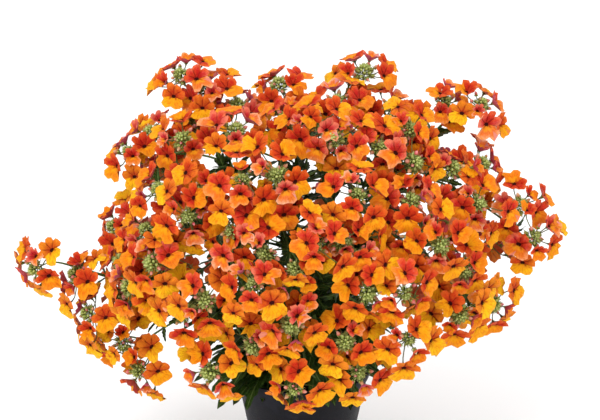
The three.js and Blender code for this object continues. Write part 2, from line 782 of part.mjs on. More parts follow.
// Leaves stand in opposite pairs at the nodes of a stem, each pair square to the last
function leavesAt(stem, node, quarter) {
  const heading = stem.curve.getTangent(node);
  const [side, lift] = acrossFrame(heading);
  const spread = quarter % 2 === 0 ? side : lift;
  const length = LEAF_LENGTH * (1.12 - 0.4 * node);
  return [1, -1].map((way) => {
    const direction = mix(spread, way * 0.84, heading, 0.54);
    const face = heading.clone().addScaledVector(direction, -heading.dot(direction)).normalize();
    return { node, root: along(stem.curve.getPoint(node), direction, STEM_RADIUS), direction, face, length };
  });
}

// A leafy stem as one closed mesh. Four-sided rings run up its curve, with two close together at each node,
// and leaves and branches grow from the faces between those two.
function stemBody(stem) {
  const length = stem.curve.getLength();
  const shares = [0];
  const nodeRings = stem.nodes.map((node) => {
    const last = shares[shares.length - 1];
    const between = Math.ceil(((node - last) * length) / STEM_STEP);
    for (let step = 1; step < between; step++) shares.push(last + ((node - last) * step) / between);
    shares.push(node - NODE_HEIGHT / 2 / length, node + NODE_HEIGHT / 2 / length);
    return shares.length - 1;
  });
  shares.push(1);
  const root = stem.foot.clone().setZ(SOIL_TOP - STEM_HOLE_DEPTH);
  const path = [root, ...shares.map((share) => stem.curve.getPoint(share))];
  const { points, triangles } = rodBody(path, STEM_RADIUS, STEM_TIP_RADIUS, STEM_SIDES);
  const facesOfRing = 2 * STEM_SIDES;
  const faces = nodeRings.map((ring) => triangles.slice(facesOfRing * ring, facesOfRing * (ring + 1)));
  const takeFace = (share, target) => {
    const gaps = stem.nodes.map((node) => Math.abs(node - share));
    const free = faces[gaps.indexOf(Math.min(...gaps))];
    const [face] = free.splice(faceTowards(points, free, target), 1);
    triangles.splice(triangles.indexOf(face), 1);
    return face;
  };
  for (const leaf of stem.leaves) {
    growLeaf(points, triangles, takeFace(leaf.node, along(leaf.root, leaf.direction, 6)), leaf);
  }
  for (const spray of stem.sprays) {
    if (spray === stem.leader) continue;
    growBranch(points, triangles, takeFace(spray.node, spray.curve.getPoint(1 / BRANCH_STEPS)), spray.curve);
  }
  return { points, triangles };
}

function stemHole(stem) {
  const radius = STEM_RADIUS + SEAT_GAP;
  const bottom = stem.foot.clone().setZ(SOIL_TOP - STEM_HOLE_DEPTH - SEAT_GAP);
  return rodBody([bottom, along(stem.foot, UP, 5)], radius, radius, STEM_SIDES);
}

// Pot and compost

const POT_SLOPE = (POT_RIM_RADIUS - POT_RIM_STEP - POT_BASE_RADIUS) / POT_HEIGHT;
const potOutside = (height) => POT_BASE_RADIUS + POT_SLOPE * height;

function potSolid() {
  const rimFoot = POT_HEIGHT - POT_RIM_DEPTH;
  const shell = turnedBody(
    [
      [POT_BASE_RADIUS - POT_EDGE_ROUND, 0],
      [POT_BASE_RADIUS, POT_EDGE_ROUND],
      [potOutside(rimFoot), rimFoot],
      [potOutside(rimFoot) + POT_RIM_STEP, rimFoot + POT_EDGE_ROUND],
      [POT_RIM_RADIUS, POT_HEIGHT - POT_EDGE_ROUND],
      [POT_RIM_RADIUS - POT_EDGE_ROUND, POT_HEIGHT],
      [potOutside(POT_HEIGHT) - POT_WALL, POT_HEIGHT],
      [potOutside(POT_FLOOR) - POT_WALL, POT_FLOOR],
    ],
    POT_SIDES,
  );
  const drain = solidOf(turnedBody([[DRAIN_RADIUS, -1], [DRAIN_RADIUS, POT_FLOOR + 1]], DRAIN_SIDES));
  const frame = [RIGHT, new THREE.Vector3(0, 1, 0)];
  const places = circle(new THREE.Vector3(), frame, DRAIN_RING_RADIUS, DRAIN_HOLES, 180 / DRAIN_HOLES);
  return places.reduce((pot, { x, y, z }) => pot.subtract(drain.translate([x, y, z])), solidOf(shell));
}

// The compost fills the pot to below its rim, with a crowned, uneven top and a plain hole for each stem
function soilSolid() {
  const inside = (height) => potOutside(height) - POT_WALL - SEAT_GAP;
  const foot = POT_FLOOR + SEAT_GAP;
  const draw = seeded(77);
  const ring = (share) => [share * inside(SOIL_TOP - SOIL_ROUGHNESS), SOIL_TOP + SOIL_CROWN * (1 - share)];
  const body = turnedBody([[inside(foot), foot], ring(1), ring(0.5)], POT_SIDES);
  for (const point of body.points) {
    if (point.z > foot) point.z -= SOIL_ROUGHNESS * draw();
  }
  return stems.reduce((soil, stem) => soil.subtract(solidOf(stemHole(stem))), solidOf(body));
}

// Clearance between the nodes

const placed = [];

function keepPlace(solid, owner) {
  placed.push({ solid, box: solid.boundingBox(), ...owner });
}

// Whether a trial solid is clear of what is placed, apart from what passes says
function isFree(trial, passes) {
  const box = trial.boundingBox();
  return placed.every((other) => {
    const apart = [0, 1, 2].some((k) => box.min[k] > other.box.max[k] || box.max[k] < other.box.min[k]);
    return apart || passes(other) || trial.intersect(other.solid).volume() < LEAST_OVERLAP;
  });
}

// A bloom a little aside, turned and smaller, the more so the looser it is
function loosenedBloom(bloom, draw, looseness) {
  const trial = { ...bloom, size: bloom.size * (1 - 0.01 * looseness) };
  trial.centre = shaken(bloom.centre, draw, 0.8 * looseness);
  faceBloom(trial);
  trial.facing = shaken(trial.facing, draw, 0.06 * looseness).normalize();
  trial.side.crossVectors(trial.up, trial.facing).normalize();
  trial.up.crossVectors(trial.facing, trial.side).normalize();
  trial.face = stalkFace(trial);
  return trial;
}

// Whether a bloom is clear of other heads, and the outer part of its stalk of its own head
function bloomIsClear(bloom) {
  const ofHead = (other) => other.head === bloom.head;
  return MARGINS.every((margin) => {
    const moved = { ...bloom, centre: along(bloom.centre, bloom.facing, margin) };
    if (!isFree(loneBloom(moved, 0, TRIAL_MARGIN), ofHead)) return false;
    return isFree(loneBloom(moved, STALK_FREE_FROM, TRIAL_MARGIN), (other) => !ofHead(other));
  });
}

// A bloom takes its place if that is free, or the nearest free one
function placeBloom(bloom, number) {
  const head = bloom.head;
  const draw = seeded(2000 + number);
  for (let attempt = 0; attempt < BLOOM_ATTEMPTS; attempt++) {
    const trial = loosenedBloom(bloom, draw, attempt);
    if (!bloomIsClear(trial)) continue;
    head.blooms.push(trial);
    keepPlace(loneBloom(trial, 0, 0), { head });
    return;
  }
}

// Whether a leaf is clear of everything but its own stem, and its outer part of that too
function leafIsClear(leaf, stem) {
  return MARGINS.every((margin) => {
    const whole = { ...leaf, root: along(leaf.root, leaf.face, margin) };
    if (!isFree(loneLeaf(whole, TRIAL_MARGIN), (other) => other.stem === stem)) return false;
    const root = along(whole.root, leaf.direction, LEAF_FREE_FROM);
    const outer = { ...leaf, root, length: leaf.length - LEAF_FREE_FROM };
    return isFree(loneLeaf(outer, TRIAL_MARGIN), (other) => other.stem !== stem);
  });
}

// Leaves are turned and shortened until they are clear, and one with no room is left out
function placeLeaves(stem) {
  const draw = seeded(4000 + stem.number);
  for (const leaf of stem.nodes.flatMap((node, index) => leavesAt(stem, node, index))) {
    for (let attempt = 0; attempt < LEAF_ATTEMPTS; attempt++) {
      const trial = { ...leaf, length: leaf.length * (1 - 0.02 * attempt) };
      trial.direction = shaken(leaf.direction, draw, 0.1 * attempt).normalize();
      trial.face = shaken(leaf.face, draw, 0.1 * attempt);
      if (!leafIsClear(trial, stem)) continue;
      stem.leaves.push(trial);
      keepPlace(loneLeaf(trial, 0), { stem });
      break;
    }
  }
}

const stems = plannedStems();
const sprays = stems.flatMap((stem) => stem.sprays);
const heads = sprays.flatMap((spray) => spray.heads);
const blooms = heads.flatMap(nominalBlooms);
spreadBlooms(blooms);
layRoutes();

const pot = potSolid();
keepPlace(pot, {});
for (const stem of stems) {
  stem.nodes = stemNodes(stem);
  keepPlace(solidOf(stemBody(stem)), { stem });
}
for (const spray of sprays) {
  for (const head of spray.heads) {
    head.tuft = tuftMesh(head);
    keepPlace(solidOf(sprayBody([head], spray.heading)), { head });
  }
}
blooms.filter((bloom) => bloom.age >= YOUNG_BLOOMS).forEach(placeBloom);
for (const spray of sprays) keepPlace(solidOf(sprayBody(spray.heads, spray.heading)), {});
stems.forEach(placeLeaves);

// The nodes

const FINISHES = {
  pot: new THREE.MeshStandardMaterial({ color: 0x2b2b31, roughness: 0.5, metalness: 0 }),
  soil: new THREE.MeshStandardMaterial({ color: 0x3a2a1e, roughness: 0.95, metalness: 0 }),
  foliage: new THREE.MeshStandardMaterial({ color: 0x2f5a2c, roughness: 0.6, metalness: 0 }),
  petals: new THREE.MeshStandardMaterial({ color: 0xe8641c, roughness: 0.55, metalness: 0 }),
};

function meshOf(name, solid, finish) {
  const { vertProperties, triVerts } = solid.getMesh();
  const geometry = new THREE.BufferGeometry();
  geometry.setAttribute("position", new THREE.BufferAttribute(vertProperties, 3));
  geometry.setIndex(new THREE.BufferAttribute(triVerts, 1));
  geometry.computeVertexNormals();
  const mesh = new THREE.Mesh(geometry, FINISHES[finish]);
  mesh.name = name;
  return mesh;
}

const twoDigits = (number) => String(number).padStart(2, "0");

const pottedNemesia = new THREE.Group();
pottedNemesia.add(meshOf("pot", pot, "pot"));
pottedNemesia.add(meshOf("soil", soilSolid(), "soil"));
for (const stem of stems) {
  pottedNemesia.add(meshOf(`leafy_stem_${twoDigits(stem.number)}`, solidOf(stemBody(stem)), "foliage"));
}
sprays.forEach((spray, index) => {
  const solid = solidOf(sprayBody(spray.heads, spray.heading));
  pottedNemesia.add(meshOf(`flower_spray_${twoDigits(index + 1)}`, solid, "petals"));
});

export default pottedNemesia;
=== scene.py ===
"""Looks of the potted nemesia: blooms, bud tufts, stalks, leaves, pot and compost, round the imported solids.

Lengths in the code are in millimetres and become metres when a mesh is made. The frame is that of the
solids: the origin is the centre of the pot's underside, +X to the right, +Y away from the viewer, +Z up.
"""

import math

import bpy
import numpy as np
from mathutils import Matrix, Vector


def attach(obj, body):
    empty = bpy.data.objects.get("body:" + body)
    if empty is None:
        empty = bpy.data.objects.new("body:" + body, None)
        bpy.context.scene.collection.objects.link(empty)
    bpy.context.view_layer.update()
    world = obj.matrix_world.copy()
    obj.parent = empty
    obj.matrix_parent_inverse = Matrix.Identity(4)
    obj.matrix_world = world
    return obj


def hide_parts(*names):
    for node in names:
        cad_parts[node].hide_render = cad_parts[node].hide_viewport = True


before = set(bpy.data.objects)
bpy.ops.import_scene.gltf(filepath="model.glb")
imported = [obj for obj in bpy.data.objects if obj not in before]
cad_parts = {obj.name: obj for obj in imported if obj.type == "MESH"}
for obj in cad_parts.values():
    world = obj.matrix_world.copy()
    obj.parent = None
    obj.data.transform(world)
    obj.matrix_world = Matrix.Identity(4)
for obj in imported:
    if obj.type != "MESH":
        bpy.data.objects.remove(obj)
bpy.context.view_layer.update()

MM = 0.001
UP = np.array([0.0, 0.0, 1.0])
RIGHT = np.array([1.0, 0.0, 0.0])

# The solids' own sizes, in mm, and the shares by which they are laid out
SOIL_TOP = 101
SOIL_CROWN = 3
SEAT_GAP = 0.3
STEM_HOLE_DEPTH = 16
STEM_RADIUS = 2
STEM_TIP_RADIUS = 1.3
STEM_STEP = 50
STEM_RING_RADIUS = 18
STEM_RING_SPREAD = 24
LOW_STEMS = 290
LOW_STEMS_FADE = 150
STEM_BOW_OUT = 0.26
STEM_BOW_UP = 0.66
STEM_BOW_LEAST = 36
BRANCH_RADIUS = 1.15
BRANCH_STEPS = 3
BRANCH_LOWEST = 0.25
BRANCH_HIGHEST = 0.9
BRANCH_BOW = 0.42
PEDUNCLE_RADIUS = 0.95
PEDUNCLE_LENGTH = 44
PEDUNCLE_NODE = 3
PEDUNCLE_BOW = 0.36
STEM_CLEARANCE = 1.8
ROUTE_STEP = 2
ROUTE_ATTEMPTS = 60
TUFT_LENGTH = 19
TUFT_RADIUS = 4.4
BLOOMS_OF_A_HEAD = 7
YOUNG_BLOOMS = 2
BLOOM_TURN = 137.5
BLOOM_TURN_STRAY = 16
BLOOM_APART = 18.5
FULL_BLOOM = 0.94
SPREAD_ROUNDS = 14
SPREAD_PUSH = 0.3
THROAT_DEPTH = 3.4
MOUND_CENTRE = np.array([0.0, 0.0, 225.0])
MOUND_RADII = np.array([185.0, 165.0, 160.0])
MOUND_HOLLOW = 0.12
OUTWARD_LEAN = 0.7
HEAD_LEAN = 0.3
FRONT_LEAN = 0.85
LEAN_SPREAD = 0.8
VIEW_RISE = 20
VIEW_DISTANCE = 1800
VIEW_MIDDLE = np.array([-2.0, 0.0, 266.0])

# The rule of the draws, and the seeds from which the kinds of pieces count on
DRAW_FACTOR = 16807
DRAW_MODULUS = 2**31 - 1
BLOOM_SEEDS = 500
STEM_SEEDS = 900
PEDUNCLE_SEEDS = 1300

# Front sprays, by stem: each tuft as seen in the front view, to the right of its middle and above it
FRONT_STEMS = [
    [[[-243, -55], [-207, -56]], [[-196, -92], [-168, -76]], [[-166, -45], [-158, -68]]],
    [[[-172, -13], [-142, -16]], [[-136, -47]], [[-158, 56], [-130, 20]]],
    [[[-109, 126], [-87, 114]], [[-108, 66], [-137, 72]], [[-92, 14], [-102, -7]]],
    [[[-56, 100], [-57, 76]], [[-51, 30], [-64, -17]], [[-21, 118], [-13, 85]]],
    [[[33, 102], [13, 82]], [[58, 129], [30, 66]], [[-22, 33], [-26, 8]]],
    [[[85, 95], [102, 73]], [[74, 57], [106, 43]], [[53, 16], [103, 10]]],
    [[[166, 99], [133, 101]], [[168, 43], [140, 40]], [[200, 6], [213, -24]]],
    [[[161, 7], [154, -17]], [[150, -56], [128, -32]], [[177, -88], [146, -97]]],
    [
        [[105, -24]],
        [[62, -77], [96, -78]],
        [[42, -120], [54, -148]],
        [[100, -117]],
        [[51, -42], [40, -28]],
        [[14, -33]],
    ],
    [[[-106, -94], [-85, -83]], [[-160, -124], [-149, -148]], [[-84, -149], [-44, -126]]],
    [[[-9, -106]], [[-6, -165]], [[-33, -41], [-5, -57]], [[-43, -65]]],
]
# Back sprays, by stem: each one's turn from +X and its lift in degrees, and its tufts to the side and above
BACK_STEMS = [
    [[12, -10], [50, -14], [88, -9], [32, 34]],
    [[128, -13], [164, -13], [90, 38], [150, 35]],
]
BACK_SPRAY_TUFTS = [[-11, -8], [12, -3], [1, 13]]

# Gaps between the sprays that the front view looks into or through: the middle of each and its radius
VIEW_GAPS = [
    [-16, -35, 13],
    [20, -64, 14],
    [18, -86, 11],
    [13, 36, 11],
    [-4, -17, 7],
    [-72, 41, 10],
    [145, 63, 10],
    [131, 27, 7],
    [173, -6, 7],
    [105, 108, 12],
    [150, -83, 6],
    [176, -53, 10],
    [-195, -28, 10],
]
GAP_REACH = 9
GAP_PUSH = 0.5

VIEW_AHEAD = np.array([0, math.cos(math.radians(VIEW_RISE)), -math.sin(math.radians(VIEW_RISE))])
VIEW_UPWARD = np.array([0, math.sin(math.radians(VIEW_RISE)), math.cos(math.radians(VIEW_RISE))])
VIEW_EYE = VIEW_MIDDLE - VIEW_DISTANCE * VIEW_AHEAD


# Vectors, draws and curves


def unit(vectors):
    """Each vector divided by its length."""
    return vectors / np.linalg.norm(vectors, axis=-1, keepdims=True)


def seeded(seed):
    """A repeatable draw between 0 and 1, by the rule s = 16807 s mod (2^31 - 1)."""
    state = [(seed * 7919 + 12345) % DRAW_MODULUS]

    def draw():
        state[0] = (state[0] * DRAW_FACTOR) % DRAW_MODULUS
        return state[0] / DRAW_MODULUS

    draw()
    draw()
    return draw


def shaken(point, draw, reach):
    """The point moved by up to half of reach along each axis."""
    return point + reach * (np.array([draw(), draw(), draw()]) - 0.5)


def across_frame(direction):
    """Two directions square to the given one: the first level, or to the right where the given one is
    upright, and the second leaning up."""
    side = np.cross(UP, direction)
    if np.linalg.norm(side) < 0.05:
        side = RIGHT
    side = unit(side)
    return side, unit(np.cross(direction, side))


def bezier(points, share):
    """The curve point at each share, by mixing neighbouring control points until one is left."""
    share = np.asarray(share, float)[..., None]
    mixed = [np.asarray(point, float) for point in points]
    while len(mixed) > 1:
        mixed = [a * (1 - share) + b * share for a, b in zip(mixed, mixed[1:])]
    return mixed[0]


def tangent(points, share):
    """The direction of the curve at a share, from two points close beside it."""
    ends = bezier(points, np.clip([share - 0.0001, share + 0.0001], 0, 1))
    return unit(ends[1] - ends[0])


def even(points, steps):
    """The curve's points at even shares."""
    return bezier(points, np.linspace(0, 1, steps + 1))


# The plan: tufts, stems, branches and peduncles, by the same rules and draws as the solids


def point_in_view(across, up, reach):
    """The point of the mound under a place in the front view, or the nearest one beside it."""
    sight = VIEW_MIDDLE + across * RIGHT + up * VIEW_UPWARD - VIEW_EYE
    radii = MOUND_RADII * reach
    start = (VIEW_EYE - MOUND_CENTRE) / radii
    ray = sight / radii
    nearest = -(start @ ray) / (ray @ ray)
    miss = np.sum((start + ray * nearest) ** 2)
    step = math.sqrt((1 - miss) / (ray @ ray)) if miss < 1 else 0
    return VIEW_EYE + sight * (nearest - step)


def point_of_mound(turn, lift, reach):
    """The point of the mound at a turn from +X and a lift over the level, in degrees."""
    turn, lift = math.radians(turn), math.radians(lift)
    out = np.array([math.cos(lift) * math.cos(turn), math.cos(lift) * math.sin(turn), math.sin(lift)])
    return MOUND_CENTRE + out * MOUND_RADII * reach


def head_at(tip, forward, draw):
    """A head that leans out of the mound, up, by the given share towards the front, and a little its own
    way."""
    outward = unit((tip - MOUND_CENTRE) / MOUND_RADII**2)
    stray = [LEAN_SPREAD * (draw() - 0.5) for _ in range(3)]
    return {"tip": tip, "axis": unit(OUTWARD_LEAN * outward + np.array([0, -forward, HEAD_LEAN]) + stray)}


def planned_stems():
    """Every stem with its sprays, and every spray with its heads, each by the draws of its own number."""
    back = [
        [[[turn + aside, lift + above] for aside, above in BACK_SPRAY_TUFTS] for turn, lift in sprays]
        for sprays in BACK_STEMS
    ]
    number = 0
    stems = []
    for plan, point_at, forward in ((FRONT_STEMS, point_in_view, FRONT_LEAN), (back, point_of_mound, 0)):
        for sprays in plan:
            stems.append({"number": len(stems) + 1, "sprays": []})
            for tufts in sprays:
                heads = []
                for place in tufts:
                    draw = seeded(number)
                    tip = point_at(*place, 1 - MOUND_HOLLOW * draw())
                    heads.append(head_at(tip, forward, draw))
                    number += 1
                stems[-1]["sprays"].append({"heads": heads})
    return stems


def route_points(path):
    """Points at small steps along the straight lengths of a path."""
    rows = []
    for start, end in zip(path, path[1:]):
        steps = math.ceil(np.linalg.norm(end - start) / ROUTE_STEP)
        rows.append(start + (end - start) * np.linspace(0, 1, steps + 1)[:, None])
    return np.concatenate(rows)


def first_clear(routes, path_of, radius, piece, curve_at):
    """Tries curves, ever looser, until the path along one is clear, by their radii and the clearance, of the
    routes that aren't the piece's own. One is its own if it names no other stem, spray or tuft."""
    others = [r for r in routes if any(r["owner"].get(key, value) != value for key, value in piece.items())]
    points = np.concatenate([route["points"] for route in others])
    room = radius + STEM_CLEARANCE
    least = np.concatenate([np.full(len(route["points"]), room + route["radius"]) for route in others])
    for attempt in range(ROUTE_ATTEMPTS):
        curve = curve_at(attempt)
        trial = route_points(path_of(curve))
        apart = ((trial[:, None, :] - points[None, :, :]) ** 2).sum(axis=2)
        if (apart > least**2).all():
            break
    return curve


def stem_foot(stem):
    """Where the stem leaves the compost: on the side that it leans to, low stems further out."""
    middle = np.mean([spray["foot"] for spray in stem["sprays"]], axis=0)
    turn = math.atan2(middle[1], middle[0])
    low = min(max((LOW_STEMS - middle[2]) / LOW_STEMS_FADE, 0), 1)
    radius = STEM_RING_RADIUS + STEM_RING_SPREAD * low
    return np.array([radius * math.cos(turn), radius * math.sin(turn), SOIL_TOP + SOIL_CROWN])


def stem_curve(stem, draw, looseness):
    """A stem rises out of the compost and arches to its furthest spray."""
    foot, end = stem["foot"], stem["leader"]["foot"]
    control = foot + (end - foot) * np.array([STEM_BOW_OUT, STEM_BOW_OUT, 0])
    control[2] = foot[2] + max(STEM_BOW_UP * (end[2] - foot[2]), STEM_BOW_LEAST)
    return [foot, shaken(control, draw, looseness), end]


def branch_curve(stem, spray, draw, looseness):
    """A branch leaves the stem along it and bends towards its own spray. The further that is, as a share of
    the stem's own reach, the further up it starts, at 0.2 + 0.55 reach of the stem and a little stray."""
    whole = np.linalg.norm(stem["leader"]["foot"] - stem["foot"])
    reach = np.linalg.norm(spray["foot"] - stem["foot"]) / whole
    share = 0.2 + 0.55 * reach + 0.006 * looseness * (draw() - 0.5)
    share = min(max(share, BRANCH_LOWEST), BRANCH_HIGHEST)
    start = bezier(stem["curve"], share)
    control = start + tangent(stem["curve"], share) * BRANCH_BOW * np.linalg.norm(start - spray["foot"])
    return [start, shaken(control, draw, looseness), spray["foot"]]


def peduncle_curve(spray, head, draw, looseness):
    """A peduncle runs on from the spray's foot, or out of the node just above it, to its tuft."""
    rise = SEAT_GAP + (0 if head is spray["heads"][0] else PEDUNCLE_NODE / 2)
    start = spray["foot"] + spray["heading"] * rise
    end = head["tip"] - head["axis"] * TUFT_LENGTH
    length = PEDUNCLE_BOW * np.linalg.norm(end - start)
    first = shaken(start + spray["heading"] * length, draw, looseness)
    return [start, first, shaken(end - head["axis"] * length, draw, looseness), end]


def peduncle_path(spray, head, curve):
    """The solid peduncle's corners: its start, a node if it is the first head's, its bend and its end."""
    start, bend, end = even(curve, 2)
    if head is spray["heads"][0]:
        return [start, start + spray["heading"] * PEDUNCLE_NODE, bend, end]
    return [start, bend, end]


def lay_routes(stems):
    """Lays the tufts, then the stems with their branches, then the peduncles, each clear of the others. With
    each attempt a stem or peduncle may stray by 2 mm more, and a branch by 3 mm."""
    routes = []

    def lay(path, radius, **owner):
        # Keeps a path for those that come later
        routes.append({"points": route_points(path), "radius": radius, "owner": owner})

    def grow(path_of, radius, piece, curve_at, **owner):
        # Finds a clear curve for a piece and keeps the path along it
        curve = first_clear(routes, path_of, radius, piece, curve_at)
        lay(path_of(curve), radius, **owner)
        return curve

    for s, stem in enumerate(stems):
        for p, spray in enumerate(stem["sprays"]):
            feet = [head["tip"] - head["axis"] * PEDUNCLE_LENGTH for head in spray["heads"]]
            spray["foot"] = np.mean(feet, axis=0)
            for h, head in enumerate(spray["heads"]):
                below = head["tip"] - head["axis"] * TUFT_LENGTH
                lay([head["tip"], below], TUFT_RADIUS, stem=s, spray=p, tuft=h)
    for s, stem in enumerate(stems):
        stem["foot"] = stem_foot(stem)
        far = [np.linalg.norm(spray["foot"] - stem["foot"]) for spray in stem["sprays"]]
        leader = int(np.argmax(far))
        stem["leader"] = stem["sprays"][leader]
        draw = seeded(STEM_SEEDS + stem["number"])
        steps = math.ceil(far[leader] / STEM_STEP)
        stem["curve"] = grow(
            lambda curve: even(curve, steps),
            STEM_RADIUS,
            {"stem": s, "spray": leader},
            lambda attempt: stem_curve(stem, draw, 2 * attempt),
            stem=s,
        )
        for p, spray in enumerate(stem["sprays"]):
            spray["curve"] = stem["curve"]
            if p == leader:
                continue
            spray["curve"] = grow(
                lambda curve: even(curve, BRANCH_STEPS),
                BRANCH_RADIUS,
                {"stem": s, "spray": p},
                lambda attempt: branch_curve(stem, spray, draw, 3 * attempt),
                stem=s,
            )
    for s, stem in enumerate(stems):
        for p, spray in enumerate(stem["sprays"]):
            draw = seeded(PEDUNCLE_SEEDS + 10 * stem["number"] + p)
            spray["heading"] = tangent(spray["curve"], 1)
            for h, head in enumerate(spray["heads"]):
                head["curve"] = grow(
                    lambda curve: peduncle_path(spray, head, curve),
                    PEDUNCLE_RADIUS,
                    {"stem": s, "spray": p, "tuft": h},
                    lambda attempt: peduncle_curve(spray, head, draw, 2 * attempt),
                    stem=s,
                    spray=p,
                )


def leave_gaps(centres):
    """Moves places that stand in a gap of the front view out of it, a share of the way."""
    sight = centres - VIEW_EYE
    scale = VIEW_DISTANCE / (sight @ VIEW_AHEAD)
    seen = np.stack([sight @ RIGHT, sight @ VIEW_UPWARD], axis=1) * scale[:, None]
    for *middle, radius in VIEW_GAPS:
        away = seen - middle
        distance = np.linalg.norm(away, axis=1)[:, None]
        away *= GAP_PUSH * np.maximum(radius + GAP_REACH - distance, 0) / distance
        centres = centres + away[:, :1] * RIGHT + away[:, 1:] * VIEW_UPWARD
    return centres


def planned_blooms(heads):
    """Blooms stand round each head's axis by the golden turn, and those too close move apart and out of the
    gaps. At first a bloom is 13.5 + 2.3 age out from the axis and 3 + 1.7 age below the tip, each with a
    stray, and its size is 0.62 + 0.16 age while young and 0.94 after that, and up to 0.12 more."""
    blooms = []
    for number, head in enumerate(heads):
        draw = seeded(BLOOM_SEEDS + number)
        side, lift = across_frame(head["axis"])
        start = 360 * draw()
        for age in range(BLOOMS_OF_A_HEAD):
            turn = math.radians(start + BLOOM_TURN * age + BLOOM_TURN_STRAY * (draw() - 0.5))
            out = 13.5 + 2.3 * age + 2.4 * (draw() - 0.5)
            drop = 3 + 1.7 * age + 3 * (draw() - 0.5)
            size = (0.62 + 0.16 * age if age < YOUNG_BLOOMS else FULL_BLOOM) + 0.12 * draw()
            radial = side * math.cos(turn) + lift * math.sin(turn)
            centre = head["tip"] - head["axis"] * drop + out * radial
            blooms.append({"head": head, "age": age, "size": size, "centre": centre})
    centres = np.array([bloom["centre"] for bloom in blooms])
    sizes = np.array([bloom["size"] for bloom in blooms])
    wanted = BLOOM_APART * (sizes[:, None] + sizes[None, :]) / 2
    not_itself = 1e9 * np.eye(len(blooms))
    for _ in range(SPREAD_ROUNDS):
        apart = centres[:, None, :] - centres[None, :, :]
        distance = np.linalg.norm(apart, axis=2) + not_itself
        push = np.where(distance < wanted, SPREAD_PUSH * (wanted - distance) / distance, 0)
        centres = leave_gaps(centres + (apart * push[:, :, None]).sum(axis=1))
    for bloom, centre in zip(blooms, centres):
        bloom["centre"] = centre
        face_bloom(bloom)
    return blooms


def face_bloom(bloom):
    """A bloom faces out from its head's axis and along it, by 0.54 out + (0.84 - 0.03 age) axis, with its
    upper lobes towards the tuft."""
    axis = bloom["head"]["axis"]
    out = bloom["centre"] - bloom["head"]["tip"]
    out = unit(out - axis * (out @ axis))
    bloom["facing"] = unit(0.54 * out + (0.84 - 0.03 * bloom["age"]) * axis)
    bloom["side"] = unit(np.cross(0.8 * axis + 0.3 * UP, bloom["facing"]))
    bloom["up"] = unit(np.cross(bloom["facing"], bloom["side"]))


stems = planned_stems()
lay_routes(stems)
sprays = [spray for stem in stems for spray in stem["sprays"]]
heads = [head for spray in sprays for head in spray["heads"]]
blooms = planned_blooms(heads)


# What the solids settle: where each older bloom and each large leaf found room


def corners_of(node):
    """A solid's corners in millimetres, each once, and for each corner the rows of its neighbours."""
    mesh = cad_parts[node].data
    loose = np.empty(len(mesh.vertices) * 3)
    mesh.vertices.foreach_get("co", loose)
    faces = np.empty(len(mesh.polygons) * 3, int)
    mesh.loops.foreach_get("vertex_index", faces)
    keys, rows = np.unique(np.round(loose.reshape(-1, 3) / MM, 3), axis=0, return_inverse=True)
    faces = rows.reshape(-1)[faces].reshape(-1, 3)
    edges = np.unique(np.concatenate([faces[:, [0, 1]], faces[:, [1, 2]], faces[:, [2, 0]]]), axis=0)
    neighbours = np.split(edges[:, 1], np.searchsorted(edges[:, 0], np.arange(1, len(keys))))
    return keys, faces, neighbours


# The solid bloom's corners round its throat: turn from the right side, reach and height
BLOOM_RIGHT = [[14, 13.4, -1.4], [42, 9.4, -0.6], [66, 13.8, -2.4]]
BLOOM_LEFT = [[114, 13.8, -2.4], [138, 9.4, -0.6], [166, 13.4, -1.4]]
BLOOM_LIP = [[226, 16.6, 3], [314, 16.6, 3]]
BLOOM_OUTLINE = np.array(BLOOM_RIGHT + BLOOM_LEFT + BLOOM_LIP)
# The sizes and the misfit in mm at which eight corners still are a bloom
BLOOM_SIZES = (0.3, 1.2)
BLOOM_MISFIT = 0.5
# A solid leaf's rib, which is 0.1 u - 0.3 u^2 high at the share u of the length: its thickness, with the
# misfit let pass, the share at which it ends, and how many times further from the tip that is than the teeth
LEAF_RISE = 0.1
LEAF_FALL = 0.3
RIB_THICKNESS = 1.2
RIB_MISFIT = 0.02
RIB_SHARE = 0.45
TOOTH_RATIO = (1.45, 1.75)


def fitted_blooms(node):
    """The blooms of a solid spray. A throat is a corner with eight neighbours, the two nearest of which are
    the notches and the two furthest the lip. The bloom's frame is the turn that lays its outline on them."""
    corners, faces, neighbours = corners_of(node)
    turn = np.radians(BLOOM_OUTLINE[:, 0])
    outline = BLOOM_OUTLINE[:, 1, None] * np.stack([np.cos(turn), np.sin(turn), 0 * turn], axis=1)
    outline[:, 2] = BLOOM_OUTLINE[:, 2] + THROAT_DEPTH
    first, second, third = (corners[faces[:, k]] for k in range(3))
    normals = np.cross(second - first, third - first)
    found = []
    for throat, around in enumerate(neighbours):
        if len(around) != len(BLOOM_OUTLINE):
            continue
        rays = corners[around] - corners[throat]
        lengths = np.linalg.norm(rays, axis=1)
        order = np.argsort(lengths)
        size = lengths.sum() / np.linalg.norm(outline, axis=1).sum()
        if not BLOOM_SIZES[0] < size < BLOOM_SIZES[1]:
            continue
        facing = unit(normals[(faces == throat).any(axis=1)].sum(axis=0))
        up = rays[order[:2]].mean(axis=0) - rays[order[-2:]].mean(axis=0)
        up = unit(up - facing * (up @ facing))
        side = np.cross(up, facing)
        angles = np.degrees(np.arctan2(rays @ up, rays @ side)) % 360
        rays = rays[np.argsort(angles)]
        u, _, v = np.linalg.svd(outline.T @ rays)
        turned_to = u @ np.diag([1, 1, np.sign(np.linalg.det(u @ v))]) @ v
        if np.abs(size * outline @ turned_to - rays).max() > BLOOM_MISFIT:
            continue
        side, up, facing = turned_to
        centre = corners[throat] + facing * THROAT_DEPTH * size
        found.append({"centre": centre, "side": side, "up": up, "facing": facing, "size": size})
    return found


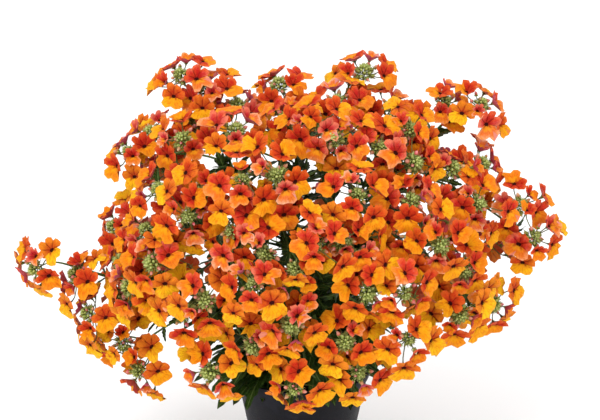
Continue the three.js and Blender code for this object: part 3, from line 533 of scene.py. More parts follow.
def fitted_leaves(node):
    """The large leaves of a solid stem. A leaf's tip has four neighbours: the last tooth on either side and,
    further off, the rib above and below. The leaf's frame follows from them."""
    corners, _, neighbours = corners_of(node)
    found = []
    for tip, around in enumerate(neighbours):
        if len(around) != 4:
            continue
        rays = corners[around] - corners[tip]
        rays = rays[np.argsort(np.linalg.norm(rays, axis=1))]
        far, near = np.linalg.norm(rays[2:], axis=1).mean(), np.linalg.norm(rays[:2], axis=1).mean()
        thickness = np.linalg.norm(rays[2] - rays[3])
        if abs(thickness - RIB_THICKNESS) > RIB_MISFIT or not TOOTH_RATIO[0] < far / near < TOOTH_RATIO[1]:
            continue
        side = unit(rays[1] - rays[0])
        normal = unit(rays[2] - rays[3])
        rib = (rays[2] + rays[3]) / 2
        normal = normal if normal @ rib > 0 else -normal
        side = side if np.cross(normal, side) @ rib < 0 else -side
        direction = np.cross(normal, side)
        length = -(rib @ direction) / (1 - RIB_SHARE)
        arch = length * (LEAF_RISE * RIB_SHARE - LEAF_FALL * RIB_SHARE**2)
        root = corners[tip] + rib - direction * RIB_SHARE * length - normal * arch
        leaf = leaf_at(root, direction, normal, length)
        found.append({**leaf, "side": side})
    return found


# Meshes


def linked(name, data):
    """A new object of the scene that shows a mesh, a lamp or a camera."""
    made = bpy.data.objects.new(name, data)
    bpy.context.scene.collection.objects.link(made)
    return made


class Patches:
    """Surfaces gathered into one mesh: corners with the values that materials read, and faces by finish."""

    def __init__(self):
        self.corners = []
        self.values = []
        self.faces = []
        self.finishes = []
        self.count = 0

    def add(self, corners, faces, values=(0, 0, 0, 0), lot=0.5):
        """Adds corners (n, 3) and, by finish, faces that number them from 0. Values (n, 4) and the lot, a
        draw that tells one bloom or leaf from the next, are kept for the materials."""
        corners = np.asarray(corners, float).reshape(-1, 3)
        values = np.broadcast_to(np.asarray(values, float), (len(corners), 4))
        lots = np.broadcast_to(np.asarray(lot, float), len(corners))
        self.corners.append(corners)
        self.values.append(np.concatenate([values, lots[:, None]], axis=1))
        for finish, rows in faces:
            self.faces.extend((rows + self.count).tolist())
            self.finishes.append(np.full(len(rows), finish))
        self.count += len(corners)

    def make(self, name, materials, replaces=(), rims=False):
        """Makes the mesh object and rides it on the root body. With rims, the edges
        between corners whose second value is 1 are sharp."""
        mesh = bpy.data.meshes.new(name)
        mesh.from_pydata(np.concatenate(self.corners) * MM, [], self.faces)
        for material in materials:
            mesh.materials.append(material)
        mesh.polygons.foreach_set("material_index", np.concatenate(self.finishes).astype(np.int32))
        mesh.polygons.foreach_set("use_smooth", np.ones(len(mesh.polygons), bool))
        values = np.concatenate(self.values).astype(np.float32)
        grown = mesh.attributes.new("grown", "FLOAT_COLOR", "POINT")
        grown.data.foreach_set("color", values[:, :4].ravel())
        lots = mesh.attributes.new("lot", "FLOAT", "POINT")
        lots.data.foreach_set("value", values[:, 4].copy())
        mesh.update()
        if rims:
            edges = np.zeros(2 * len(mesh.edges), np.int32)
            mesh.edges.foreach_get("vertices", edges)
            on_rim = (values[:, 1] == 1)[edges.reshape(-1, 2)].all(axis=1)
            mesh.edges.foreach_set("use_edge_sharp", on_rim)
        piece = linked(name, mesh)
        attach(piece, "root")
        for node in replaces:
            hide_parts(node)
        return piece


def grid_faces(copies, rows, columns, stride):
    """Quads between the rings of repeated grids. Corners are numbered ring by ring, and a copy's first
    corner comes a stride after the last copy's."""
    copy, row, column = np.meshgrid(np.arange(copies), np.arange(rows - 1), np.arange(columns), indexing="ij")
    after = (column + 1) % columns
    below = copy * stride + row * columns
    above = below + columns
    return np.stack([below + column, below + after, above + after, above + column], axis=-1).reshape(-1, 4)


def cap_faces(copies, columns, first, hub, stride, under):
    """Triangles from a ring of corners to a hub in each copy, which face the other way under it."""
    copy, column = np.meshgrid(np.arange(copies) * stride, np.arange(columns), indexing="ij")
    ring = copy + first + column
    after = copy + first + (column + 1) % columns
    order = [after, ring, copy + hub] if under else [ring, after, copy + hub]
    return np.stack(order, axis=-1).reshape(-1, 3)


def closed_faces(copies, rows, columns, finish=0):
    """The faces of rings of corners that two hubs close, the one below and the one above them."""
    hub = rows * columns
    parts = [
        grid_faces(copies, rows, columns, hub + 2),
        cap_faces(copies, columns, 0, hub, hub + 2, True),
        cap_faces(copies, columns, hub - columns, hub + 1, hub + 2, False),
    ]
    return [(finish, part) for part in parts]


def turned(profile, columns):
    """A profile of radius and height carried round the upright axis. It ends on the axis at both ends."""
    turn = np.linspace(0, 2 * math.pi, columns, endpoint=False)
    profile = np.asarray(profile, float)
    radius, height = profile[1:-1, :1], profile[1:-1, 1:]
    rings = np.stack([radius * np.cos(turn), radius * np.sin(turn), height + 0 * turn], axis=-1)
    return np.concatenate([rings.reshape(-1, 3), [[0, 0, profile[0, 1]], [0, 0, profile[-1, 1]]]])


def tube(patches, path, radii, redness=0.0, sides=8, lot=0.5):
    """A closed tube: a circle of the given radius carried along the path, kept from twisting, with a hub at
    either end. Its fourth value is how red a stalk is."""
    path = np.asarray(path, float)
    directions = unit(np.gradient(path, axis=0))
    side, _ = across_frame(directions[0])
    turn = np.linspace(0, 2 * math.pi, sides, endpoint=False)[:, None]
    rings = []
    for point, direction, radius in zip(path, directions, np.broadcast_to(radii, len(path))):
        side = unit(side - direction * (side @ direction))
        lift = np.cross(direction, side)
        rings.append(point + radius * (np.cos(turn) * side + np.sin(turn) * lift))
    corners = np.concatenate([*rings, path[[0, -1]]])
    patches.add(corners, closed_faces(1, len(path), sides), [0, 0, 0, redness], lot)


def placed(frames, points):
    """Points of a shape's own frame (side, up, facing), carried to each of its places."""
    axes = np.stack([[f["side"], f["up"], f["facing"]] for f in frames])
    sizes = np.array([f["size"] for f in frames])
    centres = np.array([f["centre"] for f in frames])
    points = np.broadcast_to(points, (len(frames),) + points.shape[-2:])
    return centres[:, None, :] + np.einsum("bnk,bkc->bnc", points, axes) * sizes[:, None, None]


# Petals

LOBE_TURNS = [12, 64, 116, 168]
LOBE_HALF = 26
LOBE_COLUMNS = [-1, -0.6, 0, 0.6]
LIP_TURN = 270
LIP_HALF = 72
LIP_COLUMNS = [-1, -0.78, -0.55, -0.3, 0, 0.3, 0.55, 0.78, 1]
# The share of the outline's reach at which each ring of a bloom's face lies, from its throat to its rim
RING_SHARES = np.array([0.18, 0.6, 1.0])
NECK_SHARE = 0.12
# The outline's reach at a petal's sides, what the middle adds to it, the lip's notch and its ruffles, in mm
LOBE_REACH = 11.0
LOBE_BULGE = 3.1
LIP_REACH = 9.8
LIP_BULGE = 5.2
LIP_NOTCH = 3
LIP_RUFFLE = 1.5
# How a petal rises from the throat and how it curls, in degrees: at least, more if young, more by a draw
LOBE_RISE = [22, 22, 20]
LIP_RISE = [8, 26, 36]
LOBE_CURL = [26, -14, 24]
LIP_CURL = [4, 0, 26]
LOBE_WAVE = 8
LIP_WAVE = 22
# How deep the creases between the lobes and how high the bumps on the lip are in each ring, in mm
CREASES = np.array([0.3, 1.8, 1.4])
BUMPS = np.array([1.3, 0.9, 0])
# How far the outline, in mm, and the curl, in degrees, stray from column to column
OUTLINE_STRAY = 0.8
CURL_STRAY = 9
THROAT_SLIT = [2.2, 1.0]
THROAT_HEIGHT = -1.8
FACE_HEIGHT = -0.9
NECK_RADIUS = 2.2
NECK_HEIGHT = -2.6
# The age at which a bloom has no youth left. Blooms grow older below this height, over this many mm
YOUTH = 3.5
LOW_BLOOMS = 270
LOW_FADE = 110


def petal_columns():
    """The columns of a bloom round its throat: turn in degrees, place across its own petal from -1 to 1,
    and whether it is on the lip."""
    columns = [[turn + LOBE_HALF * across, across, 0] for turn in LOBE_TURNS for across in LOBE_COLUMNS]
    return np.array(columns + [[LIP_TURN + LIP_HALF * across, across, 1] for across in LIP_COLUMNS])


def bloom_rings(draws, strays, ages, columns):
    """Corners of blooms in their own frames, ring by ring from the throat over the rim to the neck.

    The outline's reach on the upper lobes is 11 + 3.1 (1 - |across|^4). The lip's is 9.8 +
    5.2 (1 - |across|^6) - 3 exp(-(across / 0.2)^2), with ruffles from column to column. Draws vary what a
    middle adds, and strays the reach and the curl of each column. A petal runs out from the throat at a
    rise that turns to a fall by its curl in the second length. Creases lie between the upper lobes, two
    bumps on the lip's root, and the lip's rim waves."""
    turn = np.radians(columns[:, 0])
    across = columns[:, 1]
    on_lip = columns[:, 2] == 1
    count = len(columns)
    young = np.clip(1 - ages / YOUTH, 0, 1)[:, None]

    def angle(parts, draw):
        # The least, plus a part by youth, plus a part by a draw
        return parts[0] + parts[1] * young + parts[2] * draw

    vary = draws[:, np.minimum(np.arange(count) // len(LOBE_COLUMNS), 4)]
    ruffle = np.sin(2.2 * math.pi * np.arange(count) + 40 * draws[:, 5:6] * (1 + np.arange(count) % 5))
    upper = LOBE_REACH + (LOBE_BULGE + 2.4 * (vary - 0.5)) * (1 - np.abs(across) ** 4)
    lower = LIP_REACH + (LIP_BULGE + 2 * (draws[:, 0:1] - 0.5)) * (1 - np.abs(across) ** 6)
    lower = lower - LIP_NOTCH * np.exp(-((across / 0.2) ** 2)) + LIP_RUFFLE * ruffle
    reach = (np.where(on_lip, lower, upper) + OUTLINE_STRAY * strays)[:, None, :]
    rise = np.where(on_lip, angle(LIP_RISE, draws[:, 7:8] ** 2), angle(LOBE_RISE, draws[:, 6:7]))
    curl = np.where(on_lip, angle(LIP_CURL, draws[:, 8:9]), angle(LOBE_CURL, draws[:, 4:5]))
    curl = curl + np.where(on_lip, LIP_WAVE, LOBE_WAVE) * ruffle + CURL_STRAY * strays[:, ::-1]
    slope = np.radians(rise[:, None, :] - curl[:, None, :] * np.arange(len(RING_SHARES) - 1)[:, None])
    lengths = np.diff(RING_SHARES)[:, None] * reach
    out = RING_SHARES[0] * reach + np.cumsum(lengths * np.cos(slope), axis=1)
    out = np.concatenate([RING_SHARES[0] * reach, out], axis=1)
    height = np.cumsum(lengths * np.sin(slope), axis=1)
    height = FACE_HEIGHT + np.concatenate([0 * reach, height], axis=1)
    bumps = BUMPS[:, None] * np.exp(-(((np.abs(across) - 0.3) / 0.22) ** 2))
    height = height + np.where(on_lip, bumps, -CREASES[:, None] * across**2)
    rings = np.stack([out * np.cos(turn), out * np.sin(turn), height], axis=-1)
    plane = np.stack([np.cos(turn), np.sin(turn), np.ones(count)], axis=1)
    slit = plane * [*THROAT_SLIT, THROAT_HEIGHT]
    neck = plane * [NECK_RADIUS, NECK_RADIUS, NECK_HEIGHT]
    ends = [np.broadcast_to(ring, (len(rings), 1, count, 3)) for ring in (slit, neck)]
    return np.concatenate([ends[0], rings, ends[1]], axis=1)


def add_blooms(patches, blooms, random):
    """Blooms as closed shells. Their values are how far across the petal from its middle, the reach, whether
    on the lip, and the age, a share that grows by up to a quarter towards the foot of the plant. The front of
    the petals takes the first finish and their back the second."""
    draws = random.random((len(blooms), 9))
    ages = np.array([bloom["age"] for bloom in blooms], float)
    columns = petal_columns()
    strays = random.uniform(-1, 1, (len(blooms), len(columns)))
    rings = bloom_rings(draws, strays, ages, columns)
    copies, rows, count = rings.shape[:3]
    stride = rows * count
    corners = placed(blooms, rings.reshape(copies, stride, 3))
    low = np.clip((LOW_BLOOMS - np.array([bloom["centre"][2] for bloom in blooms])) / LOW_FADE, 0, 1)
    grown = (ages + draws[:, 4] - 0.5) / (BLOOMS_OF_A_HEAD - 1) * (0.85 + 0.2 * low) + 0.25 * low
    values = np.zeros((copies, stride, 4))
    values[:, :, 0] = np.tile(np.abs(columns[:, 1]), rows)
    values[:, :, 1] = np.repeat([0, *RING_SHARES, NECK_SHARE], count)
    values[:, :, 2] = np.tile(columns[:, 2], rows)
    values[:, :, 3] = np.clip(grown, 0, 1)[:, None]
    quads = grid_faces(copies, rows, count, stride)[:, ::-1]
    in_front = np.tile(np.arange((rows - 1) * count) < (rows - 2) * count, copies)
    round_throat = np.arange(count) + np.arange(copies)[:, None] * stride
    round_neck = round_throat[:, ::-1] + stride - count
    # The cap that closes the throat takes the front finish, which paints it near black as painted shade
    faces = [(0, quads[in_front]), (1, quads[~in_front]), (0, round_throat), (1, round_neck)]
    patches.add(corners, faces, values.reshape(-1, 4), np.repeat(draws[:, 8], stride))


# Buds, calyxes and stalks

# Sepals of each kind, in mm: radius and height of the foot and of the tip, and half the width
TUFT_SEPALS = (1.3, 0.2, 3.3, 4.6, 1.05)
OPENING_SEPALS = (1.2, -0.3, 2.2, 2.0, 0.8)
CALYX_SEPALS = (1.7, NECK_HEIGHT - 1.4, 4.6, NECK_HEIGHT + 1.0, 0.8)
SEPALS = 5
SEPAL_TURN = 0.3
SEPAL_LEVELS = [0.2, 0.2, 0.3, 1.0]
BUD_LENGTH = 4.6
BUD_PROFILE = [[0, -0.2], [0.5, 0.0], [1.35, 0.8], [1.6, 2.0], [1.2, 3.2], [0.5, 4.1], [0, BUD_LENGTH]]
BUD_SIDES = 6
BUDS_OF_A_TUFT = 20
TUFT_SCALES = (0.65, 0.98)
OPENING_BUDS = 5
OPENING_SCALES = (0.8, 1.3)
OPENING_FOOT = 11
# A bloom's stalk: the shares of its curve at which it is measured, its radii there and that of its cup
STALK_SHARES = [0, 0.25, 0.5, 0.7, 0.84, 0.93, 1]
STALK_RADII = [0.6, 0.55, 0.5, 0.5, 0.6, 1.3]
CUP_RADIUS = 2.0


def add_sepals(patches, frames, lots, shape):
    """Narrow pointed blades round each frame's facing axis. Each has four corners: two at its foot, one
    behind them and its tip. The first value is how far along the blade a corner is."""
    foot_radius, foot_height, tip_radius, tip_height, width = shape
    turn = 2 * math.pi * np.arange(SEPALS) / SEPALS + SEPAL_TURN
    out = np.stack([np.cos(turn), np.sin(turn), 0 * turn], axis=1)
    aside = np.stack([-np.sin(turn), np.cos(turn), 0 * turn], axis=1)
    foot = out * foot_radius + UP * foot_height
    tip = out * tip_radius + UP * tip_height
    behind = foot * 0.62 + tip * 0.3 + out * 0.35 - UP * 0.35
    blade = np.stack([foot - aside * width, foot + aside * width, behind, tip], axis=1)
    corners = placed(frames, blade.reshape(1, -1, 3))
    starts = np.arange(len(frames) * SEPALS) * 4
    values = np.zeros((len(starts) * 4, 4))
    values[:, 0] = np.tile(SEPAL_LEVELS, len(starts))
    sides = np.array([[0, 1, 2], [1, 3, 2], [0, 2, 3], [0, 3, 1]])
    faces = (sides + starts[:, None, None]).reshape(-1, 3)
    patches.add(corners, [(1, faces)], values, np.repeat(lots, SEPALS * 4))


def add_buds(patches, frames, lots, pinks):
    """Buds as egg shapes, turned about each frame's facing axis. Their values are how far along the bud,
    and in the fourth place how pink it is."""
    corners = placed(frames, turned(BUD_PROFILE, BUD_SIDES)[None])
    copies, stride = corners.shape[:2]
    rows = len(BUD_PROFILE) - 2
    values = np.zeros((copies, stride, 4))
    values[:, :-2, 0] = np.repeat(np.array(BUD_PROFILE)[1:-1, 1] / BUD_LENGTH, BUD_SIDES)
    values[:, -1, 0] = 1
    values[:, :, 3] = np.asarray(pinks)[:, None]
    faces = closed_faces(copies, rows, BUD_SIDES, 1)
    patches.add(corners, faces, values.reshape(-1, 4), np.repeat(lots, stride))


def seat(centre, facing, size):
    """The frame of a bud: where its foot is, where it points to and its size."""
    side, up = across_frame(facing)
    return {"centre": centre, "side": side, "up": up, "facing": facing, "size": size}


def radials(axis, start, count):
    """Directions out from an axis, each one golden turn further round it."""
    side, lift = across_frame(axis)
    turn = np.radians(start + BLOOM_TURN * np.arange(count))[:, None]
    return side * np.cos(turn) + lift * np.sin(turn)


def tuft_frames(head, random):
    """The buds of a tuft: on the golden turn round its axis, small and upright at the tip, and larger, lower
    and leaning outwards further down. At the share s of the way down, a bud's foot is 1 + 9.5 s below the tip
    and 0.4 + 5.4 s^0.7 out, and its size 0.85 + 0.6 s, the last two by the tuft's own scale."""
    around = radials(head["axis"], random.random() * 360, BUDS_OF_A_TUFT)
    scale = random.uniform(*TUFT_SCALES)
    frames = []
    for share, radial in zip(np.linspace(0, 1, BUDS_OF_A_TUFT), around):
        facing = head["axis"] * (1.1 - 0.9 * share) + radial * (0.25 + 0.9 * share)
        facing = unit(facing + 0.1 * random.normal(size=3))
        foot = head["tip"] - head["axis"] * (1.0 + 9.5 * share) + radial * scale * (0.4 + 5.4 * share**0.7)
        frames.append(seat(foot, facing, scale * (0.85 + 0.6 * share + 0.08 * random.normal())))
    return frames


def opening_frames(head, random):
    """The buds that open next: larger, and spread round the foot of the tuft between it and the blooms, 2 to
    9 mm below its tip and 6 to 9 mm out."""
    frames = []
    for radial in radials(head["axis"], random.random() * 360, OPENING_BUDS):
        facing = unit(head["axis"] * random.uniform(0.1, 0.9) + radial + 0.15 * random.normal(size=3))
        foot = head["tip"] - head["axis"] * random.uniform(2, 9) + radial * random.uniform(6, 9)
        frames.append(seat(foot, facing, random.uniform(*OPENING_SCALES)))
    return frames


def add_opening_buds(patches, head, random):
    """The opening buds of a head, each with its sepals and a bent stalk from the head's axis."""
    frames = opening_frames(head, random)
    lots = random.random(len(frames))
    add_buds(patches, frames, lots, random.uniform(0.5, 1, len(frames)))
    add_sepals(patches, frames, lots, OPENING_SEPALS)
    foot = head["tip"] - head["axis"] * OPENING_FOOT
    for bud in frames:
        tube(patches, [foot, 0.5 * (foot + bud["centre"]), bud["centre"]], 0.4, 0.3, 4)


def add_stalk(patches, bloom, lot):
    """A bloom's stalk: a curve that leaves the tuft's axis below the bloom and meets its back square. It
    widens to the cup that holds the petals."""
    head = bloom["head"]
    back = bloom["centre"] + bloom["facing"] * (NECK_HEIGHT + 0.3) * bloom["size"]
    drop = (head["tip"] - bloom["centre"]) @ head["axis"]
    start = head["tip"] - head["axis"] * min(max(drop + 4, 5), TUFT_LENGTH - 1)
    length = np.linalg.norm(back - start)
    outward = unit(back - start + head["axis"] * 0.35 * length)
    points = [start, start + outward * 0.4 * length, back - bloom["facing"] * 0.5 * length, back]
    radii = [*STALK_RADII, CUP_RADIUS * bloom["size"]]
    tube(patches, bezier(points, STALK_SHARES), radii, 0.35 + 0.4 * lot, 5, lot)


# Leaves

# A closed section of a leaf: places across it, and whether each lies on the upper or the lower face
FULL_SECTION = np.array([[-1, 0], [-0.55, 1], [0, 1], [0.55, 1], [1, 0], [0.55, -1], [0, -1], [-0.55, -1]])
SLIM_SECTION = np.array([[-1, 0], [0, 1], [1, 0], [0, -1]])
LEAF_DROOP = 0.26
LEAF_WIDTH = 0.155
LEAF_STALK = 0.016
LEAF_POINT = 0.004
TOOTH_OUT = 0.14
TOOTH_AHEAD = 0.03
# The shares of a leaf's length between which it has teeth
TOOTHED = (0.12, 0.97)
LEAF_FOLD = 0.34
LEAF_THICKNESS = 0.25


def leaf_at(root, direction, normal, length, droop=LEAF_DROOP):
    """A leaf's frame: it runs out from its root along the direction, and its upper face has the normal."""
    leaf = {"root": root, "direction": direction, "side": np.cross(direction, normal), "normal": normal}
    return {**leaf, "length": length, "droop": droop}


def add_leaves(patches, leaves, random, rows, section):
    """Lance-shaped leaves with a toothed edge: closed sections along an arched rib.

    Half the width at the share u of the length is 0.155 (sin(pi u^0.72))^0.85, less near the root, and every
    second section reaches out and forward as a tooth. The rib's height is 0.1 u - (droop + up to 0.08) u^2,
    and the blade folds up from it and waves. Values: the share, and the place across."""
    draws = random.random((len(leaves), 5))
    share = np.linspace(0.0, 1.0, rows)
    tooth = np.where(np.arange(rows) % 2 == 1, 1.0, -1.0) * (share > TOOTHED[0]) * (share < TOOTHED[1])
    half = LEAF_WIDTH * np.sin(math.pi * share**0.72).clip(0) ** 0.85
    half = (half * (1 - np.exp(-((share / 0.11) ** 2))) + LEAF_STALK) * (1 + TOOTH_OUT * tooth)
    half[-1] = LEAF_POINT
    lengths, droop = (np.array([leaf[key] for leaf in leaves])[:, None, None] for key in ("length", "droop"))
    across, face = section.T[:, None, None, :]
    edge = np.abs(across)
    u = share[None, :, None]
    forward = u + TOOTH_AHEAD * tooth[None, :, None] * edge * (u < 0.95)
    aside = half[None, :, None] * across
    wave = 0.02 * np.sin(3 * math.pi * u + 6.3 * draws[:, 0, None, None]) * across
    height = LEAF_RISE * forward - (droop + 0.08 * draws[:, 1, None, None]) * forward**2
    height = height + LEAF_FOLD * np.abs(aside) + wave
    thickness = LEAF_THICKNESS * (1 - 0.5 * edge) * face * (1 - 0.6 * u)
    keys = ("direction", "side", "normal", "root")
    out, side, normal, root = (np.stack([leaf[key] for leaf in leaves])[:, None, None, :] for key in keys)
    corners = root + out * (forward * lengths + 0 * height)[..., None] + side * (aside * lengths)[..., None]
    corners = corners + normal * (height * lengths + thickness)[..., None]
    copies, rows, count = corners.shape[:3]
    stride = rows * count
    values = np.zeros((copies, stride, 4))
    values[:, :, 0] = np.repeat(share, count)
    values[:, :, 1] = np.tile(0.5 + 0.5 * section[:, 0], rows)
    round_root = np.arange(count) + np.arange(copies)[:, None] * stride
    round_tip = round_root + stride - count
    faces = [(2, grid_faces(copies, rows, count, stride)), (2, round_root[:, ::-1]), (2, round_tip)]
    patches.add(corners, faces, values.reshape(-1, 4), np.repeat(draws[:, 4], stride))


def leaf_pair(curve, share, turn, length, random):
    """Two opposite small leaves that leave a stem at a share of its curve, turned about its heading."""
    point, heading = bezier(curve, share), tangent(curve, share)
    side, lift = across_frame(heading)
    spread = side * math.cos(turn) + lift * math.sin(turn)
    pair = []
    for way in (1, -1):
        direction = unit(spread * way * 0.85 + heading * 0.6 + 0.12 * random.normal(size=3))
        normal = unit(heading - direction * (heading @ direction))
        pair.append(leaf_at(point, direction, normal, length * (0.85 + 0.3 * random.random())))
    return pair


# Finishes


def tint(code):
    """A colour written as six hexadecimal digits, as the light it stands for."""
    shares = np.array([int(code[i : i + 2], 16) / 255 for i in (0, 2, 4)])
    light = np.where(shares <= 0.04045, shares / 12.92, ((shares + 0.055) / 1.055) ** 2.4)
    return [*light.tolist(), 1.0]


class Nodes:
    """Adds nodes to a tree and joins them: an input is a number, a colour or another node's output."""

    def __init__(self, tree):
        self.tree = tree

    def add(self, kind, output=0, settings=None, **inputs):
        """A node of a kind with its settings and inputs, whose names have underscores for spaces or are
        numbers after an i. Returns one of its outputs."""
        made = self.tree.nodes.new(kind)
        for key, value in (settings or {}).items():
            setattr(made, key, value)
        for key, value in inputs.items():
            numbered = key[0] == "i" and key[1:].isdigit()
            socket = made.inputs[int(key[1:]) if numbered else key.replace("_", " ")]
            if isinstance(value, bpy.types.NodeSocket):
                self.tree.links.new(value, socket)
            else:
                socket.default_value = value
        return made.outputs[output]

    def sum(self, kind, first, second=0.0, third=0.0):
        """An arithmetic step on numbers."""
        return self.add("ShaderNodeMath", settings={"operation": kind}, i0=first, i1=second, i2=third)

    def varied(self, value, mask, spread):
        """A value moved by up to half the spread either way, by a mask or a lot from 0 to 1."""
        return self.sum("MULTIPLY_ADD", self.sum("SUBTRACT", mask, 0.5), spread, value)

    def between(self, value, low, high, to_low=0.0, to_high=1.0):
        """A value carried from one range to another, eased and held at its ends."""
        ends = {"From_Min": low, "From_Max": high, "To_Min": to_low, "To_Max": to_high}
        return self.add("ShaderNodeMapRange", 0, {"interpolation_type": "SMOOTHSTEP"}, Value=value, **ends)

    def blend(self, share, first, second):
        """Two colours mixed by a share."""
        return self.add("ShaderNodeMix", 2, {"data_type": "RGBA"}, i0=share, i6=first, i7=second)

    def washed(self, colour, washes):
        """A colour with others laid over it in turn, each through a mask at a strength."""
        for mask, strength, code in washes:
            colour = self.blend(self.sum("MULTIPLY", mask, strength), colour, tint(code))
        return colour

    def ramp(self, value, stops):
        """A colour looked up along a row of stops."""
        colour = self.add("ShaderNodeValToRGB", Fac=value)
        ramp = colour.node.color_ramp
        while len(ramp.elements) < len(stops):
            ramp.elements.new(0.5)
        for element, (place, code) in zip(ramp.elements, stops):
            element.position = place
            element.color = tint(code)
        return colour

    def group(self, tree, output=0, **inputs):
        """A shared effect placed in this tree with its own values."""
        return self.add("ShaderNodeGroup", output, {"node_tree": tree}, **inputs)

    def grown(self):
        """The four values of a corner, and the lot of the bloom or leaf."""
        colour = self.add("ShaderNodeAttribute", 0, {"attribute_name": "grown"})
        parts = self.add("ShaderNodeSeparateColor", Color=colour).node.outputs
        lot = self.add("ShaderNodeAttribute", 2, {"attribute_name": "lot"})
        return parts[0], parts[1], parts[2], colour.node.outputs["Alpha"], lot


def effect(name, inputs, outputs):
    """A new shader node group with its sockets: its nodes, its input values by name, and its end."""
    tree = bpy.data.node_groups.new(name, "ShaderNodeTree")
    for key, value in inputs.items():
        socket = tree.interface.new_socket(key, in_out="INPUT", socket_type="NodeSocketFloat")
        socket.default_value = value
    for key in outputs:
        tree.interface.new_socket(key, in_out="OUTPUT", socket_type="NodeSocketFloat")
    start = tree.nodes.new("NodeGroupInput")
    end = tree.nodes.new("NodeGroupOutput")
    return tree, Nodes(tree), start.outputs, end.inputs


def mottling_effect():
    """Uneven patches with finer grain over them, from two noises at a scale and at eight times it."""
    tree, nodes, given, result = effect("mottling", {"Scale": 60.0, "Grain": 0.35}, ["Mask"])
    place = nodes.add("ShaderNodeTexCoord", 3)
    patches = nodes.add("ShaderNodeTexNoise", Vector=place, Scale=given["Scale"], Detail=3.0, Roughness=0.6)
    fine = nodes.add(
        "ShaderNodeTexNoise", Vector=place, Scale=nodes.sum("MULTIPLY", given["Scale"], 8.0), Detail=2.0
    )
    mixed = nodes.sum("MULTIPLY_ADD", nodes.sum("SUBTRACT", fine, 0.5), given["Grain"], patches)
    tree.links.new(nodes.between(mixed, 0.3, 0.7), result["Mask"])
    return tree


def veins_effect():
    """Fine lines that run along a petal or slant out from a leaf's rib. A line lies where the place across,
    times the number of veins, plus the slant times the way along, is near a whole number."""
    inputs = {"Across": 0.5, "Along": 0.5, "Count": 7.0, "Slant": 0.0, "Width": 0.18, "Wander": 0.25}
    tree, nodes, given, result = effect("veins", inputs, ["Mask"])
    place = nodes.add("ShaderNodeTexCoord", 3)
    noise = nodes.add("ShaderNodeTexNoise", Vector=place, Scale=260.0, Detail=2.0)
    wander = nodes.sum("MULTIPLY", nodes.sum("SUBTRACT", noise, 0.5), given["Wander"])
    row = nodes.sum("MULTIPLY_ADD", given["Across"], given["Count"], wander)
    row = nodes.sum("MULTIPLY_ADD", given["Along"], given["Slant"], row)
    off = nodes.sum("ABSOLUTE", nodes.sum("SUBTRACT", nodes.sum("FRACT", row), 0.5))
    near = nodes.sum("DIVIDE", off, given["Width"])
    tree.links.new(nodes.between(near, 0.0, 1.0, 1.0, 0.0), result["Mask"])
    return tree


mottling = mottling_effect()
veins = veins_effect()


def finish_of(name):
    """An empty material with its nodes and its shader."""
    material = bpy.data.materials.new(name)
    material.use_nodes = True
    tree = material.node_tree
    return material, Nodes(tree), tree.nodes["Principled BSDF"].inputs


def settle(nodes, shader, colour, height, strength, depth, patches, rough, specular=0.5):
    """Ends a finish: its colour, a bump of a strength and a depth in metres from a height, a roughness that
    follows the patches between two ends, and its specular level."""
    bump = nodes.add("ShaderNodeBump", Strength=strength, Distance=depth, Height=height)
    nodes.tree.links.new(colour, shader["Base Color"])
    nodes.tree.links.new(bump, shader["Normal"])
    nodes.tree.links.new(nodes.between(patches, 0.0, 1.0, *rough), shader["Roughness"])
    shader["Specular IOR Level"].default_value = specular


